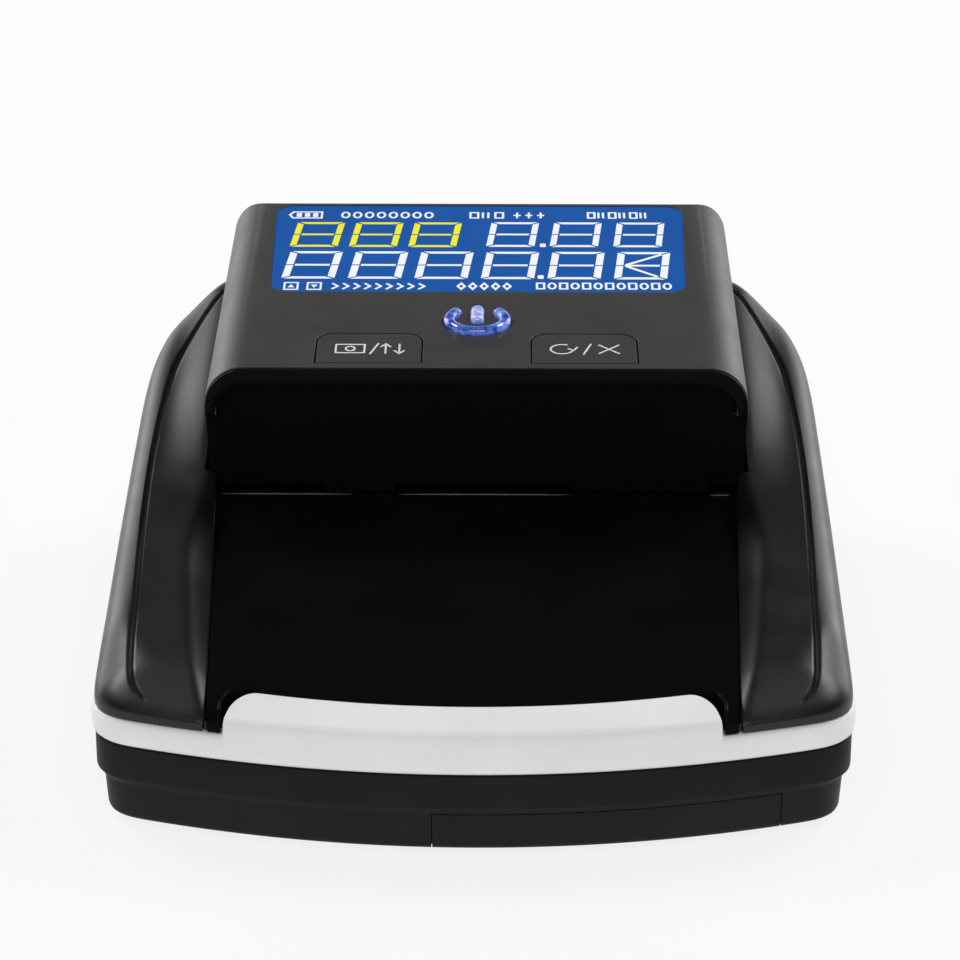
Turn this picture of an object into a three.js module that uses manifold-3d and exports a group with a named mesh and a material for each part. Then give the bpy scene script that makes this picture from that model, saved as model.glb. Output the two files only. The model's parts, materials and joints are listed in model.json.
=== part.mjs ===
// A counter-top counterfeit bill detector: banknotes go in over the front tray, run under the
// display head between driven and idle rollers, and come out at the back.
// Millimetres, +Z up, +Y towards the back. The origin is on the surface it stands on, under its middle.

import * as THREE from 'three';
import { mergeVertices } from 'three/addons/utils/BufferGeometryUtils.js';
import Module from 'manifold-3d';

const wasm = await Module();
wasm.setup();

// ---------- driving dimensions ----------

const HALF_WIDTH = 62.5;
const HALF_LENGTH = 75;
const GAP = 0.3; // clearance between neighbouring pieces
const WALL = 2; // thickness of the moulded shells
const FAR = 90; // beyond the whole object, for cutters

const FRONT_BOW = 10; // how far the front bows forward of its corners
const BOW_HALF = 57;
const CORNER_START = 55.5; // x where the front corner starts
const CORNER_END = -56; // y where the front corner ends
const REAR_START = 28; // y where the sides start to turn in
const REAR_FLAT = 45; // half-width of the nearly flat back

const CASE_BOTTOM = 1.4;
const CASE_STEP = 8.2; // top of the set-back lower part of the case
const BAND_BOTTOM = 15.8;
const BAND_TOP = 20.3;
const COVER_INSET = 0.6; // how far the covers sit inside the trim band
const COVER_ROUND = 5; // radius of the cover's outer edge

const LIP_HALF = 39.9; // raised middle of the trim band
const LIP_DEPTH = 7.6;
const LIP_FLARE = 0.7; // how much deeper it is at its ends
const LIP_CORNER = { across: 3.5, start: 3 }; // its rounded back corners, and how far back they start
const LIP_FRONT_TOP = 23.2;
const LIP_REAR_TOP = 24.6;

const SLOT_Y = 0.5; // where the note goes under the head
const SLOT_Z = 32.5;
const TRAY_FRONT_Z = 24; // floor of the tray, just behind the lip
const TRAY_SLOPE = (SLOT_Z - TRAY_FRONT_Z) / (SLOT_Y + HALF_LENGTH - LIP_DEPTH);
const PATH_SLOPE = 0.02; // of the note path under the head
const TRAY_HALF = 45.9; // half-width of the tray at the slot
const TRAY_TAPER = 0.047; // change of that half-width per millimetre of depth
const TRAY_THICK = 1.8;
const TRAY_WALL_RUN = 0.84; // sideways run of the tray's side wall per millimetre of height

const BAY_HALF = 47.8; // the space between the flanks that the head closes
const BAY_FRONT = -7;
const BAY_REAR = 71;
const EXIT_Z = 33.6; // sill of the note exit

const HEAD_FRONT = new THREE.Vector3(0, -5.1, 58.7); // middle of the head's front top edge
const HEAD_TILT = THREE.MathUtils.degToRad(4.55);
const HEAD_HALF = 47.2;
const HEAD_ROUND = 7; // radius along the head's long top edges
const HEAD_REAR = 70.1;
const HEAD_SKIRT = 35.6; // lowest edge of the head's sides
const HEAD_CHIN = 49.8; // where the front panel widens to the full width
const HINGE = new THREE.Vector3(0, 66, 43);
const HINGE_PIN = 1.5;

const WINDOW = { half: 37.6, start: 32.1, end: 72.3, round: 3.6 }; // distances up the sloping top
const KEY = { inner: 9.7, outer: 27.9, start: 2.1, end: 13.9, round: 3 };
const LEFT_KEY_SHIFT = -KEY.inner - KEY.outer; // the left key is the right key, moved over
const POWER = { centre: 19.2, outer: 6.08, inner: 3.84, opening: 52, rise: 1.2 };
const POWER_BAR = { half: 1.25, start: 18.2, end: 24.4 };

const FEED_Y = 8;
const EXIT_Y = 56;
const ROLLER = { radius: 9, length: 10, x: 22 };
const IDLER = { radius: 5, length: 8 };
const ROLLER_PROUD = 0.5; // driven rollers stand this far above the guide
const SHAFT_RADIUS = 2;
const SHAFT_HALF = 47;
const PULLEY_RADIUS = 5;
const MOTOR = { y: 32, z: 14.5, radius: 10, start: -2, end: 28 };
const MOTOR_PULLEY_RADIUS = 3;
const BELT_WIDTH = 2.5;
const BELT_THICK = 0.8;
const FEED_BELT_X = 34.3;
const EXIT_BELT_X = 38.8;

const DOOR = { left: -6.5, right: 50, rear: -38, top: 8 };
const FOOT = { radius: 5, height: 2.1, x: 50, front: -32, rear: 54 };
const SCREW = { x: 54, front: -54, rear: 40, pilot: 1.7 };
const JACK = { left: 30, right: 40, front: 62, rear: 73.2, bottom: 4.8, top: 14.8, bore: 3.1 };
const PORT = { left: -40, right: -28, front: 60, rear: 73.4, bottom: 7, top: 12, wall: 1.2 };
const CASE_WALL_Y = 66; // the back wall lies behind this
const CASE_FLOOR = CASE_BOTTOM + WALL;
const BOARD = { half: 46, front: -36, rear: 14, bottom: 8, top: 9.6 };
const STANDOFF = { x: 42, front: -33, rear: 11 };
const PACK = { left: -3, right: 43, front: -61, rear: -40, bottom: 3.9, top: 15 };
const SPEAKER = { x: -38, y: 34, radius: 8, top: 8.8 };
const SENSOR = { half: 36, front: 28, rear: 38, thick: 1.2 }; // the optical windows above and below the note
const MAGNET = { half: 10, front: 17, rear: 23, bottom: 26 };
const ENCODER_X = -36;
const EAR = { inner: 42.5, outer: 45.5, half: 5.5, bore: 4.1 }; // of the tray, round the bushes
const IDLER_EAR = { inner: 41, outer: 43, half: 3, bore: 1.8 };

// ---------- materials ----------

function material(color, roughness, metalness = 0) {
  return new THREE.MeshStandardMaterial({ color, roughness, metalness });
}

const CASE_BLACK = material(0x242526, 0.5);
const SATIN_BLACK = material(0x1c1c1d, 0.35);
const GLOSS_BLACK = material(0x0d0d0e, 0.12);
const HEAD_GREY = material(0x424244, 0.4);
const TRIM_WHITE = material(0xf0f0ee, 0.3);
const RUBBER = material(0x1a1a1a, 0.9);
const STEEL = material(0xb8bbc0, 0.3, 1);
const BRONZE = material(0xb08d57, 0.4, 1);
const BOARD_GREEN = material(0x1d5a34, 0.5);
const NYLON = material(0xe8e6df, 0.5);
const DISPLAY_BLUE = material(0x0054a6, 0.2);
const CLEAR_BLUE = material(0x3550c8, 0.15);
const SMOKED_GLASS = material(0x202428, 0.05);
const PACK_BLUE = material(0x2a4f8f, 0.5);

// ---------- solids: three.js shapes, joined and cut ----------

function toSolid(geometry) {
  const bare = geometry.clone();
  bare.deleteAttribute('normal');
  bare.deleteAttribute('uv');
  const merged = mergeVertices(bare, 1e-4);
  const triVerts = new Uint32Array(merged.index.array);
  const vertProperties = merged.attributes.position.array;
  return new wasm.Manifold(new wasm.Mesh({ numProp: 3, vertProperties, triVerts }));
}

function toGeometry(solid) {
  const mesh = solid.getMesh();
  const geometry = new THREE.BufferGeometry();
  geometry.setAttribute('position', new THREE.BufferAttribute(new Float32Array(mesh.vertProperties), 3));
  geometry.setIndex(new THREE.BufferAttribute(new Uint32Array(mesh.triVerts), 1));
  geometry.computeVertexNormals();
  return geometry;
}

function moved(geometry, x, y, z) {
  return geometry.clone().translate(x, y, z);
}

const vectorX = new THREE.Vector3(1, 0, 0);
const vectorY = new THREE.Vector3(0, 1, 0);
const vectorZ = new THREE.Vector3(0, 0, 1);
const ACROSS = new THREE.Matrix4().makeBasis(vectorY, vectorZ, vectorX);
const ALONG = new THREE.Matrix4().makeBasis(vectorX, vectorZ, vectorY.clone().negate());
const PANEL = new THREE.Matrix4().makeRotationX(HEAD_TILT).setPosition(HEAD_FRONT);

// A shape in plan, standing from one height to another.
function plate(shape, low, high, segments = 6) {
  const options = { depth: high - low, bevelEnabled: false, curveSegments: segments };
  return new THREE.ExtrudeGeometry(shape, options).translate(0, 0, low);
}

// A side view, in Y and Z, carried across from one x to another.
function across(shape, left, right, segments = 6) {
  return plate(shape, left, right, segments).applyMatrix4(ACROSS);
}

// A front view, in X and Z, carried from one y to another.
function along(shape, front, rear, segments = 6) {
  return plate(shape, -rear, -front, segments).applyMatrix4(ALONG);
}

function block(x0, x1, y0, y1, z0, z1) {
  const geometry = new THREE.BoxGeometry(x1 - x0, y1 - y0, z1 - z0);
  return geometry.translate((x0 + x1) / 2, (y0 + y1) / 2, (z0 + z1) / 2);
}

function rod(radius, low, high, sides = 16) {
  const geometry = new THREE.CylinderGeometry(radius, radius, high - low, sides).rotateX(Math.PI / 2);
  return geometry.translate(0, 0, (low + high) / 2);
}

function crossRod(radius, left, right, sides = 16) {
  return rod(radius, left, right, sides).applyMatrix4(ACROSS);
}

function polygon(points) {
  return new THREE.Shape(points.map(([x, y]) => new THREE.Vector2(x, y)));
}

// A tube of revolution along X: radius and position pairs that close on themselves.
function turned(profile, sides = 16) {
  const points = [...profile, profile[0]].map(([radius, x]) => new THREE.Vector2(radius, x));
  return new THREE.LatheGeometry(points, sides).rotateX(Math.PI / 2).applyMatrix4(ACROSS);
}

function union(...geometries) {
  return geometries.map(toSolid).reduce((all, one) => all.add(one));
}

function without(solid, cutters) {
  return cutters.reduce((left, cutter) => left.subtract(toSolid(cutter)), solid);
}

function cut(geometry, ...cutters) {
  return toGeometry(without(toSolid(geometry), cutters));
}

// Rings of equal length, stacked from the lowest up, skinned and closed with flat ends.
function loft(rings, capTop) {
  const count = rings[0].length;
  const positions = rings.flat().flatMap((point) => [point.x, point.y, point.z]);
  const index = [];
  for (let level = 0; level + 1 < rings.length; level += 1) {
    for (let i = 0; i < count; i += 1) {
      const a = level * count + i;
      const b = level * count + ((i + 1) % count);
      index.push(a, b, b + count, a, b + count, a + count);
    }
  }
  const flat = rings[0].map((point) => new THREE.Vector2(point.x, point.y));
  const top = (rings.length - 1) * count;
  THREE.ShapeUtils.triangulateShape(flat, []).forEach(([a, b, c]) => index.push(a, c, b));
  const lid = capTop ?? THREE.ShapeUtils.triangulateShape(flat, []);
  lid.forEach(([a, b, c]) => index.push(top + a, top + b, top + c));
  const geometry = new THREE.BufferGeometry();
  geometry.setAttribute('position', new THREE.BufferAttribute(new Float32Array(positions), 3));
  geometry.setIndex(index);
  return geometry;
}

// ---------- plan of the object and height of its surfaces ----------

function frontY(x) {
  return -HALF_LENGTH + FRONT_BOW * (x / BOW_HALF) ** 2;
}

// The outline seen from above, counter-clockwise from the middle of the front, the same on both sides.
function outline() {
  const path = new THREE.CurvePath();
  const cornerY = frontY(CORNER_START);
  const cornerSlope = (2 * FRONT_BOW * CORNER_START) / BOW_HALF ** 2;
  const corner = new THREE.Vector2(CORNER_START, cornerY);
  const cornerTip = new THREE.Vector2(HALF_WIDTH, cornerY + cornerSlope * (HALF_WIDTH - CORNER_START));
  const sideFront = new THREE.Vector2(HALF_WIDTH, CORNER_END);
  const sideRear = new THREE.Vector2(HALF_WIDTH, REAR_START);
  const rearEdge = new THREE.Vector2(REAR_FLAT, HALF_LENGTH - 1.4);
  const front = new THREE.Vector2(0, -HALF_LENGTH);
  const rear = new THREE.Vector2(0, HALF_LENGTH);
  const rearPull = new THREE.Vector2(HALF_WIDTH, 56);
  const rearSwing = new THREE.Vector2(59.5, 71.6);
  const rearBow = new THREE.Vector2(REAR_FLAT / 2, HALF_LENGTH);
  const frontBow = new THREE.Vector2(CORNER_START / 2, -HALF_LENGTH);
  const pieces = [
    [new THREE.QuadraticBezierCurve(front, frontBow, corner), 7],
    [new THREE.QuadraticBezierCurve(corner, cornerTip, sideFront), 5],
    [new THREE.LineCurve(sideFront, sideRear), 4],
    [new THREE.CubicBezierCurve(sideRear, rearPull, rearSwing, rearEdge), 7],
    [new THREE.QuadraticBezierCurve(rearEdge, rearBow, rear), 2],
  ];
  pieces.forEach(([curve]) => path.add(curve));
  const right = pieces.flatMap(([curve, steps]) => curve.getPoints(steps).slice(0, -1));
  const left = right.slice(1).reverse().map((point) => new THREE.Vector2(-point.x, point.y));
  return [...right, rear, ...left];
}

const OUTLINE = outline();

function inset(distance) {
  const count = OUTLINE.length;
  return OUTLINE.map((point, i) => {
    const before = OUTLINE[(i + count - 1) % count];
    const after = OUTLINE[(i + 1) % count];
    const tangent = after.clone().sub(before).normalize();
    return new THREE.Vector2(point.x - tangent.y * distance, point.y + tangent.x * distance);
  });
}

function level(distance, height) {
  return inset(distance).map((point) => new THREE.Vector3(point.x, point.y, height));
}

function ring(outer, inner, low, high) {
  const shape = new THREE.Shape(inset(outer));
  shape.holes.push(new THREE.Path(inset(inner)));
  return plate(shape, low, high);
}

// Height of the cover's crown: it climbs towards the back and, behind the slot, towards the middle.
function crownHeight(x, y) {
  const ridge = 37.18 + 0.1638 * y - 0.0006 * y * y;
  const rise = 3.4 * THREE.MathUtils.smoothstep(y, -12, 30);
  const inward = THREE.MathUtils.clamp((BOW_HALF - Math.abs(x)) / 9, 0, 1);
  return ridge + rise * inward;
}

function pathHeight(y) {
  const slope = y < SLOT_Y ? TRAY_SLOPE : PATH_SLOPE;
  return SLOT_Z + slope * (y - SLOT_Y);
}

function trayHalf(y) {
  return TRAY_HALF + TRAY_TAPER * (y - SLOT_Y);
}

// The domed solid of the cover's outer form, or of its hollow when it is set in by a wall.
function dome(wall, base) {
  const start = COVER_INSET + wall;
  const rings = [level(start, base)];
  for (let step = 0; step <= 4; step += 1) {
    const angle = (step * Math.PI) / 8;
    const ringPoints = inset(start + COVER_ROUND * (1 - Math.cos(angle)));
    const drop = wall + COVER_ROUND * (1 - Math.sin(angle));
    rings.push(ringPoints.map((point) => {
      const height = crownHeight(point.x, point.y) - drop;
      return new THREE.Vector3(point.x, point.y, Math.max(height, base + 0.2 * (step + 1)));
    }));
  }
  const shoulder = rings[rings.length - 1];
  rings.push(shoulder.map((point) => {
    const x = point.x * 0.84;
    const y = point.y * 0.94;
    return new THREE.Vector3(x, y, crownHeight(x, y) - wall);
  }));
  return loft(rings, mirroredCap(shoulder.length));
}

// Triangles that close a ring by joining each point to its mirror image.
function mirroredCap(count) {
  const triangles = [[0, 1, count - 1]];
  for (let i = 1; i < count / 2; i += 1) {
    const mirror = count - i;
    triangles.push([i, i + 1, mirror]);
    if (i + 1 < mirror - 1) triangles.push([i + 1, mirror - 1, mirror]);
  }
  return triangles;
}

// ---------- the case ----------

function caseForm() {
  return loft([
    level(3.2, CASE_BOTTOM),
    level(2.1, CASE_BOTTOM + 1.1),
    level(1.7, CASE_STEP),
    level(0.5, CASE_STEP + 1),
    level(0.5, BAND_BOTTOM - GAP),
  ]);
}

function caseHollow() {
  return loft([
    level(4.4, CASE_FLOOR),
    level(3.8, CASE_STEP),
    level(2.6, CASE_STEP + 1.4),
    level(2.5, BAND_BOTTOM + 1),
  ]);
}

function corners(x, front, rear) {
  return [[-x, front], [x, front], [-x, rear], [x, rear]];
}

function lowerCase() {
  const base = CASE_FLOOR - 0.5;
  const posts = corners(SCREW.x, SCREW.front, SCREW.rear)
    .map(([x, y]) => moved(rod(3.5, base, 12, 12), x, y, 0));
  const standoffs = corners(STANDOFF.x, STANDOFF.front, STANDOFF.rear)
    .map(([x, y]) => moved(rod(2.5, base, BOARD.bottom - GAP, 8), x, y, 0));
  const cutters = [
    block(DOOR.left - GAP, DOOR.right + GAP, -FAR, DOOR.rear + GAP, -1, DOOR.top + GAP),
    block(JACK.left - 0.6, JACK.right + 0.6, CASE_WALL_Y, FAR, JACK.bottom - 0.4, JACK.top + 0.3),
    block(PORT.left - 0.6, PORT.right + 0.6, CASE_WALL_Y, FAR, PORT.bottom - 0.3, PORT.top + 0.3),
  ];
  corners(SCREW.x, SCREW.front, SCREW.rear).forEach(([x, y]) => {
    cutters.push(moved(rod(SCREW.pilot, 0, 13, 8), x, y, 0), moved(rod(3, 0, 3, 12), x, y, 0));
  });
  corners(FOOT.x, FOOT.front, FOOT.rear).forEach(([x, y]) => {
    cutters.push(moved(rod(FOOT.radius + GAP, 0, FOOT.height + GAP, 20), x, y, 0));
  });
  const shell = toSolid(caseForm()).subtract(toSolid(caseHollow()));
  const whole = [...posts, ...standoffs].reduce((all, one) => all.add(toSolid(one)), shell);
  return toGeometry(without(whole, cutters));
}

function batteryDoor() {
  const space = block(DOOR.left, DOOR.right, -FAR, DOOR.rear, -1, DOOR.top);
  return toGeometry(toSolid(caseForm()).intersect(toSolid(space)).subtract(toSolid(caseHollow())));
}

// Back edge of the trim's raised middle, which bows more than the front.
function lipRear(x) {
  return frontY(x) + LIP_DEPTH + LIP_FLARE * (x / LIP_HALF) ** 2;
}

// The raised middle of the trim, in plan: it follows the bowed front, and its back corners are elliptical.
function lipOutline(grow) {
  const half = LIP_HALF + grow;
  const shoulder = half - LIP_CORNER.across;
  const start = frontY(half) + LIP_CORNER.start;
  const end = lipRear(shoulder) + grow;
  const steps = 10;
  const points = [];
  for (let i = 0; i <= steps; i += 1) {
    const x = -half + (2 * half * i) / steps;
    points.push(new THREE.Vector2(x, frontY(x) - grow));
  }
  const corner = [0, 1, 2].map((i) => {
    const angle = (i * Math.PI) / 6;
    const x = shoulder + LIP_CORNER.across * Math.cos(angle);
    return new THREE.Vector2(x, start + (end - start) * Math.sin(angle));
  });
  points.push(...corner);
  for (let i = 0; i <= steps; i += 1) {
    const x = shoulder - (2 * shoulder * i) / steps;
    points.push(new THREE.Vector2(x, lipRear(x) + grow));
  }
  points.push(...corner.reverse().map((point) => new THREE.Vector2(-point.x, point.y)));
  return points;
}

function lip(grow, low) {
  const points = lipOutline(grow);
  const bottom = points.map((point) => new THREE.Vector3(point.x, point.y, low));
  const top = points.map((point) => {
    const depth = (point.y - frontY(point.x)) / LIP_DEPTH;
    const height = THREE.MathUtils.lerp(LIP_FRONT_TOP, LIP_REAR_TOP, depth);
    return new THREE.Vector3(point.x, point.y, height + grow);
  });
  return loft([bottom, top]);
}

function trimBand() {
  const within = plate(new THREE.Shape(inset(3)), 0, BAND_TOP);
  return toGeometry(union(ring(0, 3, BAND_BOTTOM, BAND_TOP), lip(0, BAND_TOP - 1)).subtract(toSolid(within)));
}

// The opening between the flanks, in plan: the tray, then the wider bay under the head.
function bayOutline(shrink) {
  const steps = 8;
  const points = [];
  const frontHalf = trayHalf(-HALF_LENGTH + LIP_DEPTH) - shrink;
  const shoulder = LIP_HALF - LIP_CORNER.across;
  const frontEnd = lipRear(shoulder) + shrink;
  points.push([-frontHalf, frontEnd]);
  for (let i = 0; i <= steps; i += 1) {
    const x = shoulder * (-1 + (2 * i) / steps);
    points.push([x, lipRear(x) + shrink]);
  }
  points.push([frontHalf, frontEnd]);
  points.push([trayHalf(BAY_FRONT) - shrink, BAY_FRONT + shrink]);
  points.push([BAY_HALF - shrink, BAY_FRONT + shrink]);
  points.push([BAY_HALF - shrink, BAY_REAR - shrink]);
  points.push([shrink - BAY_HALF, BAY_REAR - shrink]);
  points.push([shrink - BAY_HALF, BAY_FRONT + shrink]);
  points.push([shrink - trayHalf(BAY_FRONT), BAY_FRONT + shrink]);
  return polygon(points);
}

// The flared space above the tray's floor, which leaves the sloping side walls on the cover.
function traySpace(grow) {
  const stations = [-FAR, BAY_FRONT + 1].map((y) => {
    const floor = pathHeight(y) - grow;
    const half = trayHalf(y) + grow;
    const height = 40;
    const flare = half + height * TRAY_WALL_RUN;
    return [[-half, floor], [half, floor], [flare, floor + height], [-flare, floor + height]]
      .map(([x, z]) => new THREE.Vector3(x, z, -y));
  });
  return loft([stations[1], stations[0]]).applyMatrix4(ALONG);
}

function upperCover() {
  const low = BAND_TOP + GAP;
  const bay = toSolid(plate(bayOutline(0), 0, FAR));
  const bayWalls = toSolid(plate(bayOutline(-WALL), 0, FAR));
  const hollow = toSolid(dome(WALL, low - 8)).subtract(bayWalls).subtract(toSolid(traySpace(WALL)));
  const rim = union(
    ring(COVER_INSET, 5.3, low, low + 1.4),
    ring(3.3, 5.3, BAND_BOTTOM + 0.4, low + 1.4),
  );
  const posts = corners(SCREW.x, SCREW.front, SCREW.rear)
    .map(([x, y]) => moved(rod(3.2, 12 + GAP, crownHeight(x, y) - WALL, 12), x, y, 0));
  const shell = toSolid(dome(0, low)).subtract(hollow).add(rim);
  const cover = posts.reduce((all, post) => all.add(toSolid(post)), shell);
  const cutters = [
    traySpace(0),
    block(-BAY_HALF, BAY_HALF, BAY_FRONT, FAR, EXIT_Z, FAR),
    lip(GAP, BAND_TOP - GAP),
    moved(crossRod(HINGE_PIN + GAP, -51, 51), 0, HINGE.y, HINGE.z),
    ...corners(SCREW.x, SCREW.front, SCREW.rear).map(([x, y]) => moved(rod(SCREW.pilot, 0, 21, 8), x, y, 0)),
  ];
  return toGeometry(without(cover.subtract(bay), cutters));
}

// ---------- the note path ----------

// Side view of a slab that follows the note path, between two heights above it.
function pathSlab(front, rear, low, high) {
  const stations = front < SLOT_Y ? [front, SLOT_Y, rear] : [front, rear];
  const edge = (offset) => stations.map((y) => [y, pathHeight(y) + offset]);
  return polygon([...edge(low), ...edge(high).reverse()]);
}

function shaftHeight(y) {
  return pathHeight(y) + ROLLER_PROUD - ROLLER.radius;
}

function mirroredBlocks(inner, outer, y0, y1, z0, z1) {
  return [block(-outer, -inner, y0, y1, z0, z1), block(inner, outer, y0, y1, z0, z1)];
}

function rollerWindows(y, length, reach, low) {
  const half = length / 2 + 0.6;
  return mirroredBlocks(ROLLER.x - half, ROLLER.x + half, y - reach, y + reach, low, FAR);
}

// Cuts the opening for a flat piece of this half-width between two places along the note path.
function pathOpening({ half, front, rear }) {
  return block(-half - GAP, half + GAP, front - GAP, rear + GAP, 20, FAR);
}

function noteTray() {
  const plan = toSolid(plate(bayOutline(GAP), 0, FAR));
  const slab = toSolid(across(pathSlab(-FAR, FAR, -TRAY_THICK, 0), -FAR, FAR));
  const cutters = [pathOpening(MAGNET), pathOpening(SENSOR)];
  const ears = [];
  [FEED_Y, EXIT_Y].forEach((y) => {
    const z = shaftHeight(y);
    const top = pathHeight(y) - TRAY_THICK / 2;
    ears.push(...mirroredBlocks(EAR.inner, EAR.outer, y - EAR.half, y + EAR.half, z - EAR.half, top));
    cutters.push(...rollerWindows(y, ROLLER.length, 6.6, z), moved(crossRod(EAR.bore, -46, 46), 0, y, z));
  });
  const tray = ears.reduce((all, ear) => all.add(toSolid(ear)), plan.intersect(slab));
  return toGeometry(without(tray, cutters));
}

function driveShaft() {
  return crossRod(SHAFT_RADIUS, -SHAFT_HALF, SHAFT_HALF);
}

function tube(inner, outer, left, right, sides = 16) {
  return turned([[inner, left], [outer, left], [outer, right], [inner, right]], sides);
}

function roller(radius, length, bore) {
  const half = length / 2;
  return tube(bore, radius, -half, half, radius > IDLER.radius ? 24 : 16);
}

function pulley(radius, bore, start) {
  const flange = 0.7;
  const rim = radius + 1.2;
  const end = start + BELT_WIDTH + 2 * GAP;
  const left = [[bore, start - flange], [rim, start - flange]];
  const groove = [[rim, start], [radius, start], [radius, end], [rim, end]];
  const right = [[rim, end + flange], [bore, end + flange]];
  return turned([...left, ...groove, ...right]);
}

function motorPulley() {
  const radius = MOTOR_PULLEY_RADIUS;
  const rim = radius + 1.1;
  const width = BELT_WIDTH + 2 * GAP;
  const back = MOTOR.end + 3.3;
  const grooves = [FEED_BELT_X - GAP, EXIT_BELT_X - GAP]
    .flatMap((x) => [[rim, x], [radius, x], [radius, x + width], [rim, x + width]]);
  const first = FEED_BELT_X - GAP - 0.7;
  const last = EXIT_BELT_X - GAP + width + 0.6;
  const points = [[0, back], [1, back], [1, first], [rim, first], ...grooves, [rim, last], [0, last]];
  const profile = points.map(([r, x]) => new THREE.Vector2(r, x));
  return new THREE.LatheGeometry(profile, 16).rotateX(Math.PI / 2).applyMatrix4(ACROSS);
}

// The path of a belt round two pulleys of different size.
function beltRun(from, fromRadius, to, toRadius) {
  const direction = Math.atan2(to.y - from.y, to.x - from.x);
  const lean = Math.acos((fromRadius - toRadius) / from.distanceTo(to));
  const path = new THREE.Shape();
  path.absarc(from.x, from.y, fromRadius, direction + lean, direction - lean + 2 * Math.PI, false);
  path.absarc(to.x, to.y, toRadius, direction - lean, direction + lean, false);
  return path;
}

function belt(x, y) {
  const motor = new THREE.Vector2(MOTOR.y, MOTOR.z);
  const shaft = new THREE.Vector2(y, shaftHeight(y));
  const near = MOTOR_PULLEY_RADIUS + GAP;
  const far = PULLEY_RADIUS + GAP;
  const run = beltRun(motor, near + BELT_THICK, shaft, far + BELT_THICK);
  run.holes.push(new THREE.Path(beltRun(motor, near, shaft, far).getPoints(8)));
  return across(run, x, x + BELT_WIDTH, 8);
}

function encoderDisc() {
  const slots = [];
  for (let i = 0; i < 6; i += 1) {
    slots.push(block(-2, 2, 3.6, 5.2, -0.5, 0.5).rotateX((i * Math.PI) / 3));
  }
  return cut(tube(SHAFT_RADIUS + GAP, 6, -0.4, 0.4, 18), ...slots);
}

function encoderSensor() {
  return cut(block(-3, 3, -3.5, 3.5, CASE_FLOOR + 0.4, 22), block(-0.9, 0.9, -4, 4, 18.4, 23));
}

// ---------- the drive and the electronics in the base ----------

function driveMotor() {
  return toGeometry(union(
    crossRod(MOTOR.radius, MOTOR.start, MOTOR.end, 28),
    crossRod(3, MOTOR.end - 1, MOTOR.end + 3),
    crossRod(4, MOTOR.start - 2, MOTOR.start + 1),
  ));
}

function motorBracket() {
  const left = MOTOR.end + GAP;
  const front = MOTOR.y - 12;
  const rear = MOTOR.y + 12;
  const base = CASE_FLOOR + 0.4;
  const upright = block(left, left + 1.5, front, rear, base, 26);
  const foot = block(left, left + 4.4, front, rear, base, base + 1.5);
  const bore = moved(crossRod(3.4, left - 1, left + 3), 0, MOTOR.y, MOTOR.z);
  return toGeometry(union(upright, foot).subtract(toSolid(bore)));
}

function mainBoard() {
  const low = BOARD.top - 0.1;
  return toGeometry(union(
    block(-BOARD.half, BOARD.half, BOARD.front, BOARD.rear, BOARD.bottom, BOARD.top),
    block(-16, -4, -24, -12, low, 11.4), // processor
    block(8, 18, -30, -22, low, 11), // motor driver
    block(-38, -30, -20, -4, low, 13), // display connector
    block(26, 38, -16, -8, low, 14), // sensor connector
    block(-24, -18, -2, 10, low, 12), // speaker connector
    moved(rod(4, low, 17, 12), 25, -27, 0), // capacitor
  ));
}

function dcJack() {
  const middle = (JACK.left + JACK.right) / 2;
  const height = (JACK.bottom + JACK.top) / 2;
  const bore = rod(JACK.bore, 64, 80).rotateX(-Math.PI / 2).translate(middle, 0, height);
  return cut(block(JACK.left, JACK.right, JACK.front, JACK.rear, JACK.bottom, JACK.top), bore);
}

function updatePort() {
  const { left, right, front, rear, bottom, top, wall } = PORT;
  const mouth = block(left + wall, right - wall, front + 4, FAR, bottom + wall, top - wall);
  return cut(block(left, right, front, rear, bottom, top), mouth);
}

// ---------- the head ----------

// Front view of the head: square at the bottom, rounded along its top edges.
function headSection(half, top, bottom, round) {
  const shape = new THREE.Shape();
  shape.moveTo(-half, bottom);
  shape.lineTo(half, bottom);
  shape.lineTo(half, top - round);
  shape.absarc(half - round, top - round, round, 0, Math.PI / 2, false);
  shape.absarc(round - half, top - round, round, Math.PI / 2, Math.PI, false);
  return shape;
}

function headTopZ(y) {
  return HEAD_FRONT.z + Math.tan(HEAD_TILT) * (y - HEAD_FRONT.y);
}

function headProfile() {
  const shape = new THREE.Shape();
  const round = 2.5;
  shape.moveTo(HEAD_FRONT.y, FAR);
  shape.lineTo(HEAD_FRONT.y, HEAD_CHIN);
  shape.lineTo(-1.2, HEAD_CHIN);
  shape.lineTo(2.8, HEAD_SKIRT);
  shape.lineTo(HINGE.y - 4, HEAD_SKIRT);
  shape.lineTo(HINGE.y - 1, HEAD_SKIRT + 2);
  shape.lineTo(HEAD_REAR, HEAD_SKIRT + 2);
  shape.lineTo(HEAD_REAR, headTopZ(HEAD_REAR) - round);
  shape.quadraticCurveTo(HEAD_REAR, headTopZ(HEAD_REAR), HEAD_REAR - round, headTopZ(HEAD_REAR - round));
  shape.lineTo(HEAD_REAR - round, FAR);
  return shape;
}

function onPanel(geometry) {
  return geometry.applyMatrix4(PANEL);
}

function roundedKey(grow) {
  const { inner, outer, start, end, round } = KEY;
  const shape = new THREE.Shape();
  shape.moveTo(inner - grow, start - grow);
  shape.lineTo(outer + grow, start - grow);
  shape.absarc(outer - round, end - round, round + grow, 0, Math.PI / 2, false);
  shape.absarc(inner + round, end - round, round + grow, Math.PI / 2, Math.PI, false);
  return shape;
}

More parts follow.
